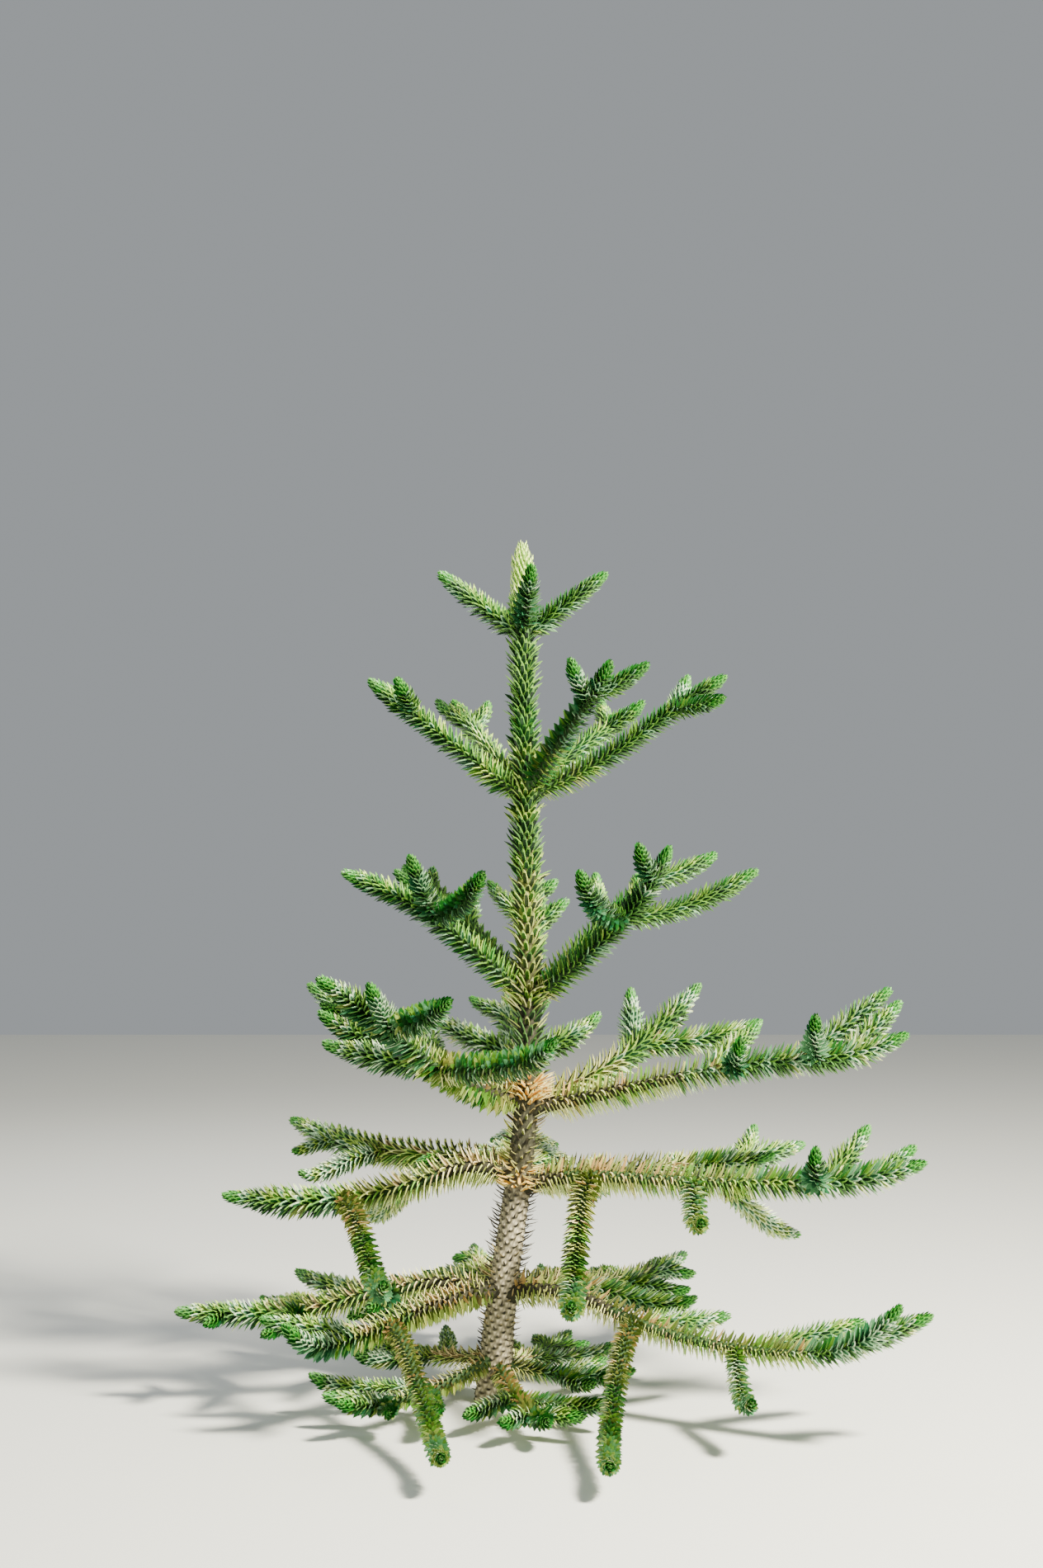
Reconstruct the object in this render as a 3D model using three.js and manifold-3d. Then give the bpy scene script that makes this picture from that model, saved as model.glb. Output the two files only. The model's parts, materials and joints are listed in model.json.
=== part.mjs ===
// A young monkey puzzle tree, 2.5 m tall, rooted in the ground. Millimetres, +Z up, +X to the right as seen
// from the front. The origin is the centre of the flat cut under the trunk, at ground level.
//
// The trunk is one tapering limb with a root flare. Whorls of boughs leave it, and the boughs, their shoots
// and the trunk itself wear stiff pointed leaves. The leaves here are fewer and larger than life.

import * as THREE from "three";
import { mergeVertices } from "three/addons/utils/BufferGeometryUtils.js";
import Module from "manifold-3d";

const wasm = await Module();
wasm.setup();

// Trunk
const TRUNK_TOP = 2256; // where the leading shoot takes over
const TREE_TOP = 2482;
const TRUNK_SIDES = 10;
const TRUNK_RADIUS_BASE = 48;
const TRUNK_RADIUS_TOP = 14;
const FLARE = 0.28; // share by which the foot is wider
const FLARE_HEIGHT = 70;
const FLARE_LOBES = 5;
const FLARE_LOBE_DEPTH = 0.1;
const LEAN = 96; // how far the trunk stands to the right of its foot
const LEAN_HEIGHT = 980; // at this height
const LEAN_BACK = 17; // and how far it comes back by its top
const TRUNK_RINGS = [30, 75, 150, 260, 400, 540, 680, 820, 980, 1200, 1500, 1850, 2100];

// Leafy shoots
const STEP = 10; // spacing of the points that a shoot grows by
const LEAF_PITCH = 70; // spacing of the leaf rings
const RING_GAP = 0.45; // a ring's leaves end this share of the pitch past the next ring
const CAP_GAP = -0.14; // and short of a flat cap
const CORE_SHARE = 0.46; // core radius as a share of the leaves' reach
const STEM_RADIUS = 9; // bare stem where an arm leaves the trunk
const NECK_MARGIN = 5;
const TIP_LENGTH = 55; // the last cone of a shoot
const SEAM = 0.3; // gap between pieces that meet
const CLEARANCE = 6; // least gap between the leaves of two arms
const GROUND_GAP = 14; // leaves stay this far above the ground
const SHORTEST_SHOOT = 110;
const BOUGH_END = 75; // a bough ends this far before its first fork
const SEED = 11;

// Slopes of a shoot, in degrees, at even shares of its length from its start to its tip
const HOOK = [-12, -46, -42, -20, 46]; // hangs down and turns up again
const SHORT_HOOK = [-14, -36, -28, 6, 42];
const TRAIL = [-6, -24, -20, -8, 16]; // sinks to the ground
const STEEP = [30, 42, 50, 54, 58];
const RISE = [8, 12, 17, 22, 30];
const SLANT = [20, 26, 30, 32, 36];
const FLAT = [4, 6, 8, 14, 24];

// Whorls from the top down. An arm is [azimuth, reach, climb, shoots]: degrees from +X towards +Y, length
// along the arm, slopes as above, and side shoots [share of the arm's length, swing from its heading, reach,
// climb]. An arm without shoots of its own has a pair at each of the whorl's forks. leaves holds how far the
// leaves stand off at the trunk and at the tips.
const WHORLS = [
  {
    height: 2214,
    leaves: [44, 28],
    forks: [],
    climb: [36, 36, 37, 38, 40],
    arms: [[2, 315], [279, 265, [32, 36, 42, 46, 52]], [180, 315], [95, 300]],
  },
  {
    height: 1752,
    leaves: [47, 30],
    forks: [0.68],
    spread: 60,
    sideShare: 0.95,
    climb: [28, 34, 34, 32, 36],
    droop: 34,
    arms: [
      [352, 690, [16, 28, 36, 33, 34], [[0.71, 74, 165, STEEP], [0.73, -42, 200, FLAT]]],
      [300, 590, [30, 36, 34, 34, 54], [[0.73, -70, 155, [36, 44, 48, 50, 54]], [0.75, 48, 200, SLANT]]],
      [195, 580, [26, 38, 36, 34, 40]],
      [42, 560, [30, 29, 28, 27, 26]],
      [122, 560],
    ],
  },
  {
    height: 1143,
    leaves: [50, 36],
    forks: [0.52, 0.8],
    spread: 62,
    sideShare: 0.85,
    climb: [42, 40, 38, 34, 34],
    droop: 32,
    arms: [
      [
        340,
        650,
        [38, 40, 42, 56, 68],
        [
          [0.6, -106, 340, [0, 14, 30, 42, 52]],
          [0.6, 36, 425, [4, 12, 22, 28, 34]],
          [0.82, -100, 170, [26, 36, 44, 50, 56]],
          [0.82, 44, 220, [10, 16, 22, 28, 36]],
        ],
      ],
      [196, 675, [44, 40, 38, 24, 20], [[0.54, 58, 265, STEEP], [0.55, 110, 350, [10, 16, 24, 32, 42]]]],
      [34, 640],
      [142, 640],
      [88, 620],
    ],
  },
  {
    height: 846,
    leaves: [57, 40],
    forks: [0.44, 0.72],
    spread: 64,
    sideShare: 0.8,
    climb: [16, 18, 24, 30, 38],
    droop: 16,
    bough: true,
    arms: [
      [
        350,
        1130,
        [10, 14, 11, 4, 30],
        [
          [0.54, -80, 175, [4, 24, 46, 58, 64]],
          [0.48, 62, 280, SLANT],
          [0.7, 38, 380, [22, 30, 34, 36, 38]],
          [0.75, -95, 200, STEEP],
          [0.82, 46, 260, [28, 34, 38, 40, 44]],
        ],
      ],
      [
        216,
        820,
        [12, 22, 38, 34, 30],
        [
          [0.4, 104, 520, [3, 5, 8, 22, 42]],
          [0.62, 34, 220, STEEP],
          [0.43, -40, 330, [4, 8, 12, 16, 28]],
          [0.66, 96, 345, RISE],
        ],
      ],
      [37, 765, [16, 17, 26, 36, 40], [[0.58, 62, 250, STEEP], [0.6, -36, 400, [4, 4, 8, 16, 30]]]],
      [156, 800],
      [96, 780],
    ],
  },
  {
    height: 622,
    leaves: [57, 42],
    forks: [0.27, 0.52, 0.76],
    spread: 70,
    sideShare: 0.72,
    climb: [20, -2, 0, 8, 20],
    droop: -24,
    bough: true,
    arms: [
      [
        345,
        1190,
        [16, -2, 1, 4, 24],
        [
          [0.182, -90, 645, HOOK],
          [0.44, -82, 300, SHORT_HOOK],
          [0.5, 50, 330, [-36, -42, -38, -24, 0]],
          [0.75, 62, 245, [24, 34, 40, 42, 46]],
          [0.73, -90, 200, [6, 28, 50, 60, 66]],
          [0.86, 46, 180, SLANT],
        ],
      ],
      [
        188,
        880,
        [32, -20, -10, 2, 12],
        [[0.6, 106, 620, [-2, -32, -30, -6, 48]], [0.36, -72, 400, SHORT_HOOK]],
      ],
      [
        30,
        1050,
        [10, -2, -1, 4, 12],
        [
          [0.27, 64, 430, [-10, -16, -16, -8, 6]],
          [0.52, 58, 320, [-8, -14, -14, -6, 10]],
          [0.54, -48, 300, [4, 6, 8, 12, 26]],
          [0.77, 50, 190, SLANT],
        ],
      ],
      [142, 950],
      [90, 860],
    ],
  },
  {
    height: 306,
    leaves: [50, 36],
    forks: [0.33, 0.6, 0.82],
    spread: 66,
    sideShare: 0.75,
    climb: [2, -10, -6, 4, 22],
    droop: -12,
    bough: true,
    arms: [
      [
        330,
        1290,
        [22, -20, -4, 6, 60],
        [
          [0.34, -75, 850, TRAIL],
          [0.36, 62, 300, [-6, -4, 0, 4, 12]],
          [0.58, -64, 330, SHORT_HOOK],
          [0.62, 56, 360, [6, 6, 8, 12, 16]],
          [0.8, 34, 300, [14, 18, 22, 24, 28]],
        ],
      ],
      [220, 800, [4, -8, -12, -4, 64], [[0.51, 71, 790, TRAIL], [0.62, -46, 300, FLAT]]],
      [186, 960, [26, -8, -14, 0, 8]],
      [46, 860],
      [148, 780],
      [98, 760],
    ],
  },
  {
    height: 120,
    leaves: [42, 32],
    forks: [0.42, 0.7],
    spread: 56,
    sideShare: 0.9,
    climb: [-16, -8, -2, 4, 24],
    droop: 0,
    arms: [[283, 620], [230, 660], [66, 520], [140, 540], [350, 420]],
  },
];
const SIDE_TIP_CLIMB = 44; // slope at a side shoot's tip
const SIDE_TURN = 16; // degrees by which a side shoot swings round towards its arm's heading

const BARK = { color: 0x8f7d68, roughness: 0.9, metalness: 0 };
const OLD_LEAF = { color: 0x76784a, roughness: 0.7, metalness: 0 };
const LEAF = { color: 0x2f6b3c, roughness: 0.55, metalness: 0 };
const FRESH_LEAF = { color: 0x8fae5c, roughness: 0.55, metalness: 0 };

const radians = THREE.MathUtils.degToRad;
const smooth = (x) => THREE.MathUtils.smoothstep(x, 0, 1);
const lerp = THREE.MathUtils.lerp;

function seededRandom(seed) {
  let state = seed;
  return () => {
    state = (state * 1664525 + 1013904223) % 4294967296;
    return state / 4294967296;
  };
}

function trunkCentre(z) {
  const back = LEAN_BACK * smooth((z - LEAN_HEIGHT) / (TREE_TOP - LEAN_HEIGHT));
  return new THREE.Vector3(LEAN * smooth(z / LEAN_HEIGHT) - back, 0, z);
}

function trunkRadius(z) {
  return lerp(TRUNK_RADIUS_BASE, TRUNK_RADIUS_TOP, Math.pow(z / TRUNK_TOP, 0.8));
}

// How far the leaves on the trunk reach from its centre.
function trunkLeafReach(z) {
  return trunkRadius(z) + lerp(10, 34, smooth(z / 1300));
}

// A solid from vertices and triangles that share them.
function solidOf(points, triangles) {
  const geometry = new THREE.BufferGeometry().setFromPoints(points);
  geometry.setIndex(triangles);
  const merged = mergeVertices(geometry, 1e-3);
  return new wasm.Manifold(
    new wasm.Mesh({
      numProp: 3,
      vertProperties: merged.attributes.position.array,
      triVerts: new Uint32Array(merged.index.array),
    }),
  );
}

// Triangles of a band between two rings of n vertices that line up.
function bandTriangles(low, high, n) {
  const triangles = [];
  for (let j = 0; j < n; j++) {
    const k = (j + 1) % n;
    triangles.push(low + j, low + k, high + k, low + j, high + k, high + j);
  }
  return triangles;
}

function fanTriangles(first, n, facingBack) {
  const triangles = [];
  for (let j = 1; j < n - 1; j++) {
    triangles.push(...(facingBack ? [first, first + j + 1, first + j] : [first, first + j, first + j + 1]));
  }
  return triangles;
}

// The trunk, or the trunk grown by a margin for cutting what meets it.
function trunkSolid(margin) {
  const heights = [-margin, ...TRUNK_RINGS, TRUNK_TOP + margin];
  const points = [];
  const triangles = [];
  heights.forEach((z, i) => {
    const centre = trunkCentre(Math.max(z, 0));
    const foot = Math.exp(-Math.max(z, 0) / FLARE_HEIGHT);
    for (let j = 0; j < TRUNK_SIDES; j++) {
      const angle = (2 * Math.PI * j) / TRUNK_SIDES;
      const lobe = 1 + FLARE * foot + FLARE_LOBE_DEPTH * foot * Math.cos(FLARE_LOBES * angle);
      const radius = trunkRadius(Math.max(z, 0)) * lobe + margin;
      points.push(new THREE.Vector3(radius * Math.cos(angle), radius * Math.sin(angle), 0).add(centre).setZ(z));
    }
    if (i) triangles.push(...bandTriangles((i - 1) * TRUNK_SIDES, i * TRUNK_SIDES, TRUNK_SIDES));
  });
  triangles.push(...fanTriangles(0, TRUNK_SIDES, true));
  triangles.push(...fanTriangles((heights.length - 1) * TRUNK_SIDES, TRUNK_SIDES, false));
  return solidOf(points, triangles);
}

// The line that a shoot grows along: points STEP apart, each with its heading. bend gives the slope and the
// azimuth, in degrees, at a share of the length. A shoot that meets the ground runs on along it.
function growLine(start, length, bend, reachAt) {
  const line = { points: [start.clone()], headings: [], reach: [] };
  const steps = Math.round(length / STEP);
  const at = start.clone();
  for (let i = 0; i <= steps; i++) {
    const share = i / steps;
    const { slope, azimuth } = bend(share);
    const reach = reachAt(share);
    const low = at.z < reach + GROUND_GAP;
    const climb = radians(low ? Math.max(slope, 4) : slope);
    const heading = new THREE.Vector3(
      Math.cos(climb) * Math.cos(radians(azimuth)),
      Math.cos(climb) * Math.sin(radians(azimuth)),
      Math.sin(climb),
    );
    line.headings.push(heading);
    line.reach.push(reach);
    if (i < steps) {
      at.addScaledVector(heading, STEP);
      line.points.push(at.clone());
    }
  }
  return line;
}

function slopeAt(climb, share) {
  const place = Math.min(share, 1) * (climb.length - 1);
  const from = Math.min(Math.floor(place), climb.length - 2);
  return lerp(climb[from], climb[from + 1], place - from);
}

// The share of a line's points that stay clear of every line of another arm.
function clearLength(line, owner, grown) {
  for (let i = 0; i < line.points.length; i++) {
    for (const other of grown) {
      if (other.owner === owner) continue;
      for (let k = 0; k < other.points.length; k += 2) {
        const least = line.reach[i] + other.reach[k] + CLEARANCE;
        if (line.points[i].distanceToSquared(other.points[k]) < least * least) return i * STEP;
      }
    }
  }
  return line.points.length * STEP;
}

function shorten(line, length) {
  const count = Math.floor(length / STEP);
  line.points.length = Math.min(line.points.length, count);
  line.headings.length = line.points.length;
  line.reach.length = line.points.length;
}

function trunkLine() {
  const line = { owner: "trunk", points: [], reach: [] };
  for (let z = 0; z < TREE_TOP; z += STEP) {
    line.points.push(trunkCentre(z));
    line.reach.push(trunkLeafReach(Math.min(z, TRUNK_TOP)));
  }
  return line;
}

// How far the leaves stand off at a share of an arm's length.
function leafReach(whorl, share) {
  return lerp(whorl.leaves[0], whorl.leaves[1], Math.pow(Math.min(share, 1), 0.8));
}

function growMainLine(whorl, w, a, random) {
  const [azimuth, length, climb = whorl.climb, shoots] = whorl.arms[a];
  const turn = shoots ? 0 : (random() - 0.5) * 14;
  const start = trunkCentre(whorl.height + (a % 2 ? 9 : -9));
  const bend = (share) => ({ slope: slopeAt(climb, share), azimuth: azimuth + turn * share });
  const line = growLine(start, length, bend, (share) => leafReach(whorl, share));
  line.owner = `${w}.${a}`;
  const others = whorl.arms.filter((other, k) => k !== a);
  const gap = Math.min(...others.map(([other]) => Math.abs(((other - azimuth + 540) % 360) - 180)));
  return { whorl, w, a, line, azimuth, turn, length, climb, shoots, gap, sides: [] };
}

// The pairs of side shoots at the whorl's forks, for an arm without shoots of its own.
function pairedShoots({ whorl, length, climb }, random) {
  const shoots = [];
  for (const fork of whorl.forks) {
    for (const side of [1, -1]) {
      const share = fork + side * 0.015 + (random() - 0.5) * 0.03;
      const reach = whorl.sideShare * length * (1 - share) * (0.92 + 0.16 * random());
      const swing = side * whorl.spread * (0.94 + 0.12 * random());
      const own = slopeAt(climb, share);
      const droop = whorl.droop;
      shoots.push([share, swing, reach, [own + 6, (own + droop) / 2, droop, droop + 12, SIDE_TIP_CLIMB]]);
    }
  }
  return shoots;
}

function growSideLine(arm, [share, swing, reach, climb], grown) {
  const { line, azimuth, turn, length, whorl } = arm;
  const index = Math.round((share * length) / STEP);
  const from = azimuth + turn * share + swing;
  const turnBack = -Math.sign(swing) * SIDE_TURN;
  const bend = (part) => ({ slope: slopeAt(climb, part), azimuth: from + turnBack * part });
  const reachAt = (part) => lerp(line.reach[index] - 3, whorl.leaves[1], Math.pow(part, 0.8));
  const shoot = growLine(line.points[index], reach, bend, reachAt);
  shorten(shoot, clearLength(shoot, line.owner, grown));
  if (shoot.points.length * STEP < SHORTEST_SHOOT) return;
  shoot.owner = line.owner;
  grown.push(shoot);
  arm.sides.push(shoot);
}

// Every arm's main line, then the side shoots that arms have of their own, and then the pairs, fork by fork.
// A side shoot stops short of its neighbours.
function growArms() {
  const random = seededRandom(SEED);
  const arms = WHORLS.flatMap((whorl, w) => whorl.arms.map((_, a) => growMainLine(whorl, w, a, random)));
  const grown = [trunkLine(), ...arms.map((arm) => arm.line)];
  for (const arm of arms) for (const shoot of arm.shoots ?? []) growSideLine(arm, shoot, grown);
  const paired = arms.filter((arm) => !arm.shoots).map((arm) => [arm, pairedShoots(arm, random)]);
  const most = Math.max(...paired.map(([, shoots]) => shoots.length));
  for (let i = 0; i < most; i++) {
    for (const [arm, shoots] of paired) if (shoots[i]) growSideLine(arm, shoots[i], grown);
  }
  return arms;
}

// Frames carried along a line without twist, at distances from its start.
function framesAlong(line, distances) {
  const frames = [];
  const first = line.headings[0];
  let across = new THREE.Vector3(0, 0, 1);
  if (Math.abs(first.z) > 0.9) across.set(0, 1, 0);
  let index = 0;
  for (const distance of distances) {
    const place = Math.min(distance / STEP, line.points.length - 1);
    const from = Math.min(Math.floor(place), line.points.length - 2);
    for (; index <= from; index++) {
      const along = line.headings[index];
      across = across.clone().addScaledVector(along, -across.dot(along)).normalize();
    }
    const point = line.points[from].clone().lerp(line.points[from + 1], place - from);
    const along = line.headings[from];
    frames.push({ point, along, across, third: along.clone().cross(across) });
  }
  return frames;
}

function ringPoint({ point, across, third }, radius, angle) {
  return point
    .clone()
    .addScaledVector(across, radius * Math.cos(angle))
    .addScaledVector(third, radius * Math.sin(angle));
}

// A closed leafy shoot from one distance along a line to another: a core of staggered rings, and on every
// ring a pointed leaf between each two of its corners. It ends in a cone, or in a flat cap where capped is set.
function leafyShoot(line, from, to, { sides, reachAt, coreAt, leafyFrom = from, capped = false }) {
  const bodyEnd = capped ? to : to - TIP_LENGTH;
  const bands = Math.max(1, Math.round((bodyEnd - from) / LEAF_PITCH));
  const distances = [];
  for (let i = 0; i <= bands; i++) distances.push(lerp(from, bodyEnd, i / bands));
  const frames = framesAlong(line, distances);
  const points = [];
  const triangles = [];
  const angleOf = (i, j) => (2 * Math.PI * (j + (i % 2) / 2)) / sides;
  frames.forEach((frame, i) => {
    const core = coreAt?.(distances[i]) ?? Math.max(reachAt(distances[i]) * CORE_SHARE, STEM_RADIUS * 0.8);
    const radius = distances[i] < leafyFrom ? Math.min(core, STEM_RADIUS) : core;
    for (let j = 0; j < sides; j++) points.push(ringPoint(frame, radius, angleOf(i, j)));
  });
  for (let i = 0; i < bands; i++) {
    const low = i * sides;
    const high = low + sides;
    const pitch = distances[i + 1] - distances[i];
    for (let j = 0; j < sides; j++) {
      const next = (j + 1) % sides;
      const above = i % 2 ? next : j; // the corner of the next ring that lies between j and next
      const aboveNext = (above + 1) % sides;
      triangles.push(low + next, high + aboveNext, high + above);
      if (distances[i] < leafyFrom) {
        triangles.push(low + j, low + next, high + above);
        continue;
      }
      const reach = reachAt(distances[i + 1]);
      const leafTip = ringPoint(frames[i + 1], reach, angleOf(i, j) + Math.PI / sides);
      const past = capped && i === bands - 1 ? CAP_GAP : RING_GAP;
      leafTip.addScaledVector(frames[i + 1].along, past * pitch);
      const tip = points.push(leafTip) - 1;
      triangles.push(low + j, low + next, tip, low + next, high + above, tip, high + above, low + j, tip);
    }
  }
  const last = bands * sides;
  if (capped) {
    triangles.push(...fanTriangles(last, sides, false));
  } else {
    const end = framesAlong(line, [to])[0];
    const apex = points.push(end.point) - 1;
    for (let j = 0; j < sides; j++) triangles.push(last + j, last + ((j + 1) % sides), apex);
  }
  triangles.push(...fanTriangles(0, sides, true));
  return { points, triangles };
}

function shootSolid(...sizes) {
  const { points, triangles } = leafyShoot(...sizes);
  return solidOf(points, triangles);
}

const tree = new THREE.Group();

function addPiece(name, solid, finish) {
  const { vertProperties, triVerts, numProp } = solid.getMesh();
  const geometry = new THREE.BufferGeometry();
  const buffer = new THREE.InterleavedBuffer(vertProperties, numProp);
  geometry.setAttribute("position", new THREE.InterleavedBufferAttribute(buffer, 3, 0));
  geometry.setIndex(new THREE.BufferAttribute(triVerts, 1));
  const plain = geometry.toNonIndexed();
  plain.computeVertexNormals();
  const mesh = new THREE.Mesh(plain, new THREE.MeshStandardMaterial(finish));
  mesh.name = name;
  tree.add(mesh);
}

const trunkCutter = trunkSolid(SEAM);
const clearOfTrunk = (solid) => solid.subtract(trunkCutter);

function addTrunk() {
  addPiece("trunk", trunkSolid(0), BARK);
}

// The upright line up the middle of the trunk and of the leading shoot.
function uprightLine() {
  const line = { points: [], headings: [] };
  for (let z = 0; z <= TREE_TOP; z += STEP) line.points.push(trunkCentre(z));
  line.points.forEach((point, i) => {
    const next = line.points[i + 1] ?? point.clone().setZ(point.z + STEP);
    line.headings.push(next.clone().sub(point).normalize());
  });
  return line;
}

const SLEEVE_SIDES = 8;
const SLEEVE_WALL = 8;
const SLEEVE_ABOVE = 78; // a sleeve starts this far above a whorl
const SLEEVE_BELOW = 34; // and its last ring is this far below the next

// Leaves on the trunk between two whorls: a sleeve round the trunk that carries pointed leaves.
function addTrunkLeaves(upright) {
  const heights = [0, ...WHORLS.map((whorl) => whorl.height).reverse()];
  let count = 0;
  for (let i = 0; i < heights.length - 1; i++) {
    const from = heights[i] + SLEEVE_ABOVE;
    const to = heights[i + 1] - SLEEVE_BELOW;
    if (to - from < LEAF_PITCH * 0.8) continue;
    const coreAt = (z) => trunkRadius(z) + SLEEVE_WALL;
    const sizes = { sides: SLEEVE_SIDES, reachAt: trunkLeafReach, coreAt, capped: true };
    const { points, triangles } = leafyShoot(upright, from, to, sizes);
    count += 1;
    const finish = i < 3 ? OLD_LEAF : LEAF;
    addPiece(`trunk_leaves_${count}`, clearOfTrunk(solidOf(points, triangles)), finish);
  }
}

function addLeader(upright) {
  const reachAt = (z) => lerp(30, 27, (z - TRUNK_TOP) / (TREE_TOP - TRUNK_TOP));
  const solid = shootSolid(upright, TRUNK_TOP + SEAM, TREE_TOP, { sides: 5, reachAt });
  addPiece("leading_shoot", solid, FRESH_LEAF);
}

// Near the trunk an arm's leaves keep within the room that its neighbours and the trunk's own leaves leave.
function armReach(arm, distance) {
  const slope = radians(Math.abs(arm.climb[0]));
  const beside = distance * Math.sin(radians(arm.gap / 2)) - NECK_MARGIN;
  const inward = distance * Math.cos(slope) - trunkLeafReach(arm.whorl.height) - NECK_MARGIN;
  const room = Math.max(Math.min(beside, inward / Math.max(Math.sin(slope), 0.1)), STEM_RADIUS);
  return Math.min(room, leafReach(arm.whorl, distance / arm.length));
}

function sideSolid(shoot) {
  const length = (shoot.points.length - 1) * STEP;
  const reachAt = (distance) => shoot.reach[Math.min(Math.round(distance / STEP), shoot.reach.length - 1)];
  return shootSolid(shoot, 0, length, { sides: 3, reachAt, leafyFrom: 20 });
}

function addArm(arm) {
  const { whorl, w, a, line, length } = arm;
  const label = `${w + 1}_${a + 1}`;
  const reachAt = (distance) => armReach(arm, distance);
  const leafyFrom = trunkRadius(whorl.height) + 16;
  let start = 0;
  if (whorl.bough) {
    const fork = Math.min(...(arm.shoots?.map(([share]) => share) ?? whorl.forks));
    const boughEnd = fork * length - BOUGH_END;
    const bough = shootSolid(line, 0, boughEnd - SEAM / 2, { sides: 4, reachAt, leafyFrom, capped: true });
    addPiece(`bough_${label}`, clearOfTrunk(bough), OLD_LEAF);
    start = boughEnd + SEAM / 2;
  }
  let mass = shootSolid(line, start, length, { sides: 4, reachAt, leafyFrom: start ? start : leafyFrom });
  for (const shoot of arm.sides) mass = mass.add(sideSolid(shoot));
  addPiece(`foliage_${label}`, start ? mass : clearOfTrunk(mass), LEAF);
}

const upright = uprightLine();
addTrunk();
addTrunkLeaves(upright);
addLeader(upright);
for (const arm of growArms()) addArm(arm);

export default tree;
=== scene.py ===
"""A young monkey puzzle tree, 2.5 m tall, rooted in the ground.

Metres, +Z up, +X to the right as seen from the front. The origin is the centre of the flat cut under the
trunk, at ground level. The crown grows in millimetres, by the same rule as the solids of the tree, and its
shoots are dressed with single leaves.
"""

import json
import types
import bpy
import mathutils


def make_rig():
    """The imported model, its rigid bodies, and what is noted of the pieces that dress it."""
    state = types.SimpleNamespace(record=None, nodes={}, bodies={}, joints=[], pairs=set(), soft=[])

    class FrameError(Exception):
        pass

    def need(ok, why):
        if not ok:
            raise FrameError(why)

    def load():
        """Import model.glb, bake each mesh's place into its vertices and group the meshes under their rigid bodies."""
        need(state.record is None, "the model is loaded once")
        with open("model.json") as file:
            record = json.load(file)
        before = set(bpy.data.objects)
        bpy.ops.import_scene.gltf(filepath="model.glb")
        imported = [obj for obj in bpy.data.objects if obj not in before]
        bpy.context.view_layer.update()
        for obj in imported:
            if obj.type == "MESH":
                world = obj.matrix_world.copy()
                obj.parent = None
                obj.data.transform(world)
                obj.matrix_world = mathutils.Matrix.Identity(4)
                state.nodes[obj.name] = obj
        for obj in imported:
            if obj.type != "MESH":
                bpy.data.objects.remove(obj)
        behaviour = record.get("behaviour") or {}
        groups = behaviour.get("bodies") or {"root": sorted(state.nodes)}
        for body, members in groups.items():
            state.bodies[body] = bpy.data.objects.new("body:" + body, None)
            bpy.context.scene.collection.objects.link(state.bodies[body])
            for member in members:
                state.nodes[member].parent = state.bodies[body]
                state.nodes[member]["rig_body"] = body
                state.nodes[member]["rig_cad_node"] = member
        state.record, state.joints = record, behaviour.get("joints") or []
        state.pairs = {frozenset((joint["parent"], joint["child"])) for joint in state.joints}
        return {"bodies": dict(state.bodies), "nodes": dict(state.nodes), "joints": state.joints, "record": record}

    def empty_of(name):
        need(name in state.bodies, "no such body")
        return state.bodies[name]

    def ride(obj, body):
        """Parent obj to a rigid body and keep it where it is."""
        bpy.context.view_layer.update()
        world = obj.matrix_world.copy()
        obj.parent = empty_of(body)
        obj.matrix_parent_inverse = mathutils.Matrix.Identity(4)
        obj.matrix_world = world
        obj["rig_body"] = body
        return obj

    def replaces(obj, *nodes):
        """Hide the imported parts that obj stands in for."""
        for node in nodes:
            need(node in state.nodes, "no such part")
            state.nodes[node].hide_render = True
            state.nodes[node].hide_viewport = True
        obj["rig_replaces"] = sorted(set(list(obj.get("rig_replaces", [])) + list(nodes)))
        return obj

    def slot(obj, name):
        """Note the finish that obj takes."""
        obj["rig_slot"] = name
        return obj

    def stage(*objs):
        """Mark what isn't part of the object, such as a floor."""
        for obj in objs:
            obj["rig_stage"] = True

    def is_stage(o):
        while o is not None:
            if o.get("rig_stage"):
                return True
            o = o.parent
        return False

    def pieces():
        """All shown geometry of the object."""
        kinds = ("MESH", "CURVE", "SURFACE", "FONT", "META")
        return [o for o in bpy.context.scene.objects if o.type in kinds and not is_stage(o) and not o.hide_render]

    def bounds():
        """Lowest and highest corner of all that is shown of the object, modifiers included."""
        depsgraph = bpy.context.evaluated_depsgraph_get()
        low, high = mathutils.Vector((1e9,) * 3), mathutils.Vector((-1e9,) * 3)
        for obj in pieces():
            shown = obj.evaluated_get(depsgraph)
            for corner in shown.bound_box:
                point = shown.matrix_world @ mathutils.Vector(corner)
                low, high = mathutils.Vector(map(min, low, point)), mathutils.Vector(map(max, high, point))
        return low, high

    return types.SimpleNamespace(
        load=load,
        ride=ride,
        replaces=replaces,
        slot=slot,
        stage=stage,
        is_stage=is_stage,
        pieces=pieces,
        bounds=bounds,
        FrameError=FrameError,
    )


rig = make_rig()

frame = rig.load()
CAD_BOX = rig.bounds()

import json
import logging
import math
from collections.abc import Callable, Sequence
from dataclasses import dataclass, field
from enum import Enum
from functools import cache

import bpy
import numpy as np
from mathutils import Vector

LOG = logging.getLogger("monkey_puzzle")
SIZE_FILE = "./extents.json"
BODY = "root"
MM = 0.001
GOLDEN_TURN = math.pi * (3 - math.sqrt(5))
RIGHT, BACK, UP = np.eye(3)
MOST_LEAVES = 8800  # leaves in one piece, which keeps it under 200,000 triangles

Colour = tuple[int, int, int]
Slopes = tuple[float, ...]
Place = tuple[float, float, float]
Pair = tuple[float, float]
Array = np.ndarray
Numbers = float | Array


# Shading


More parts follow.
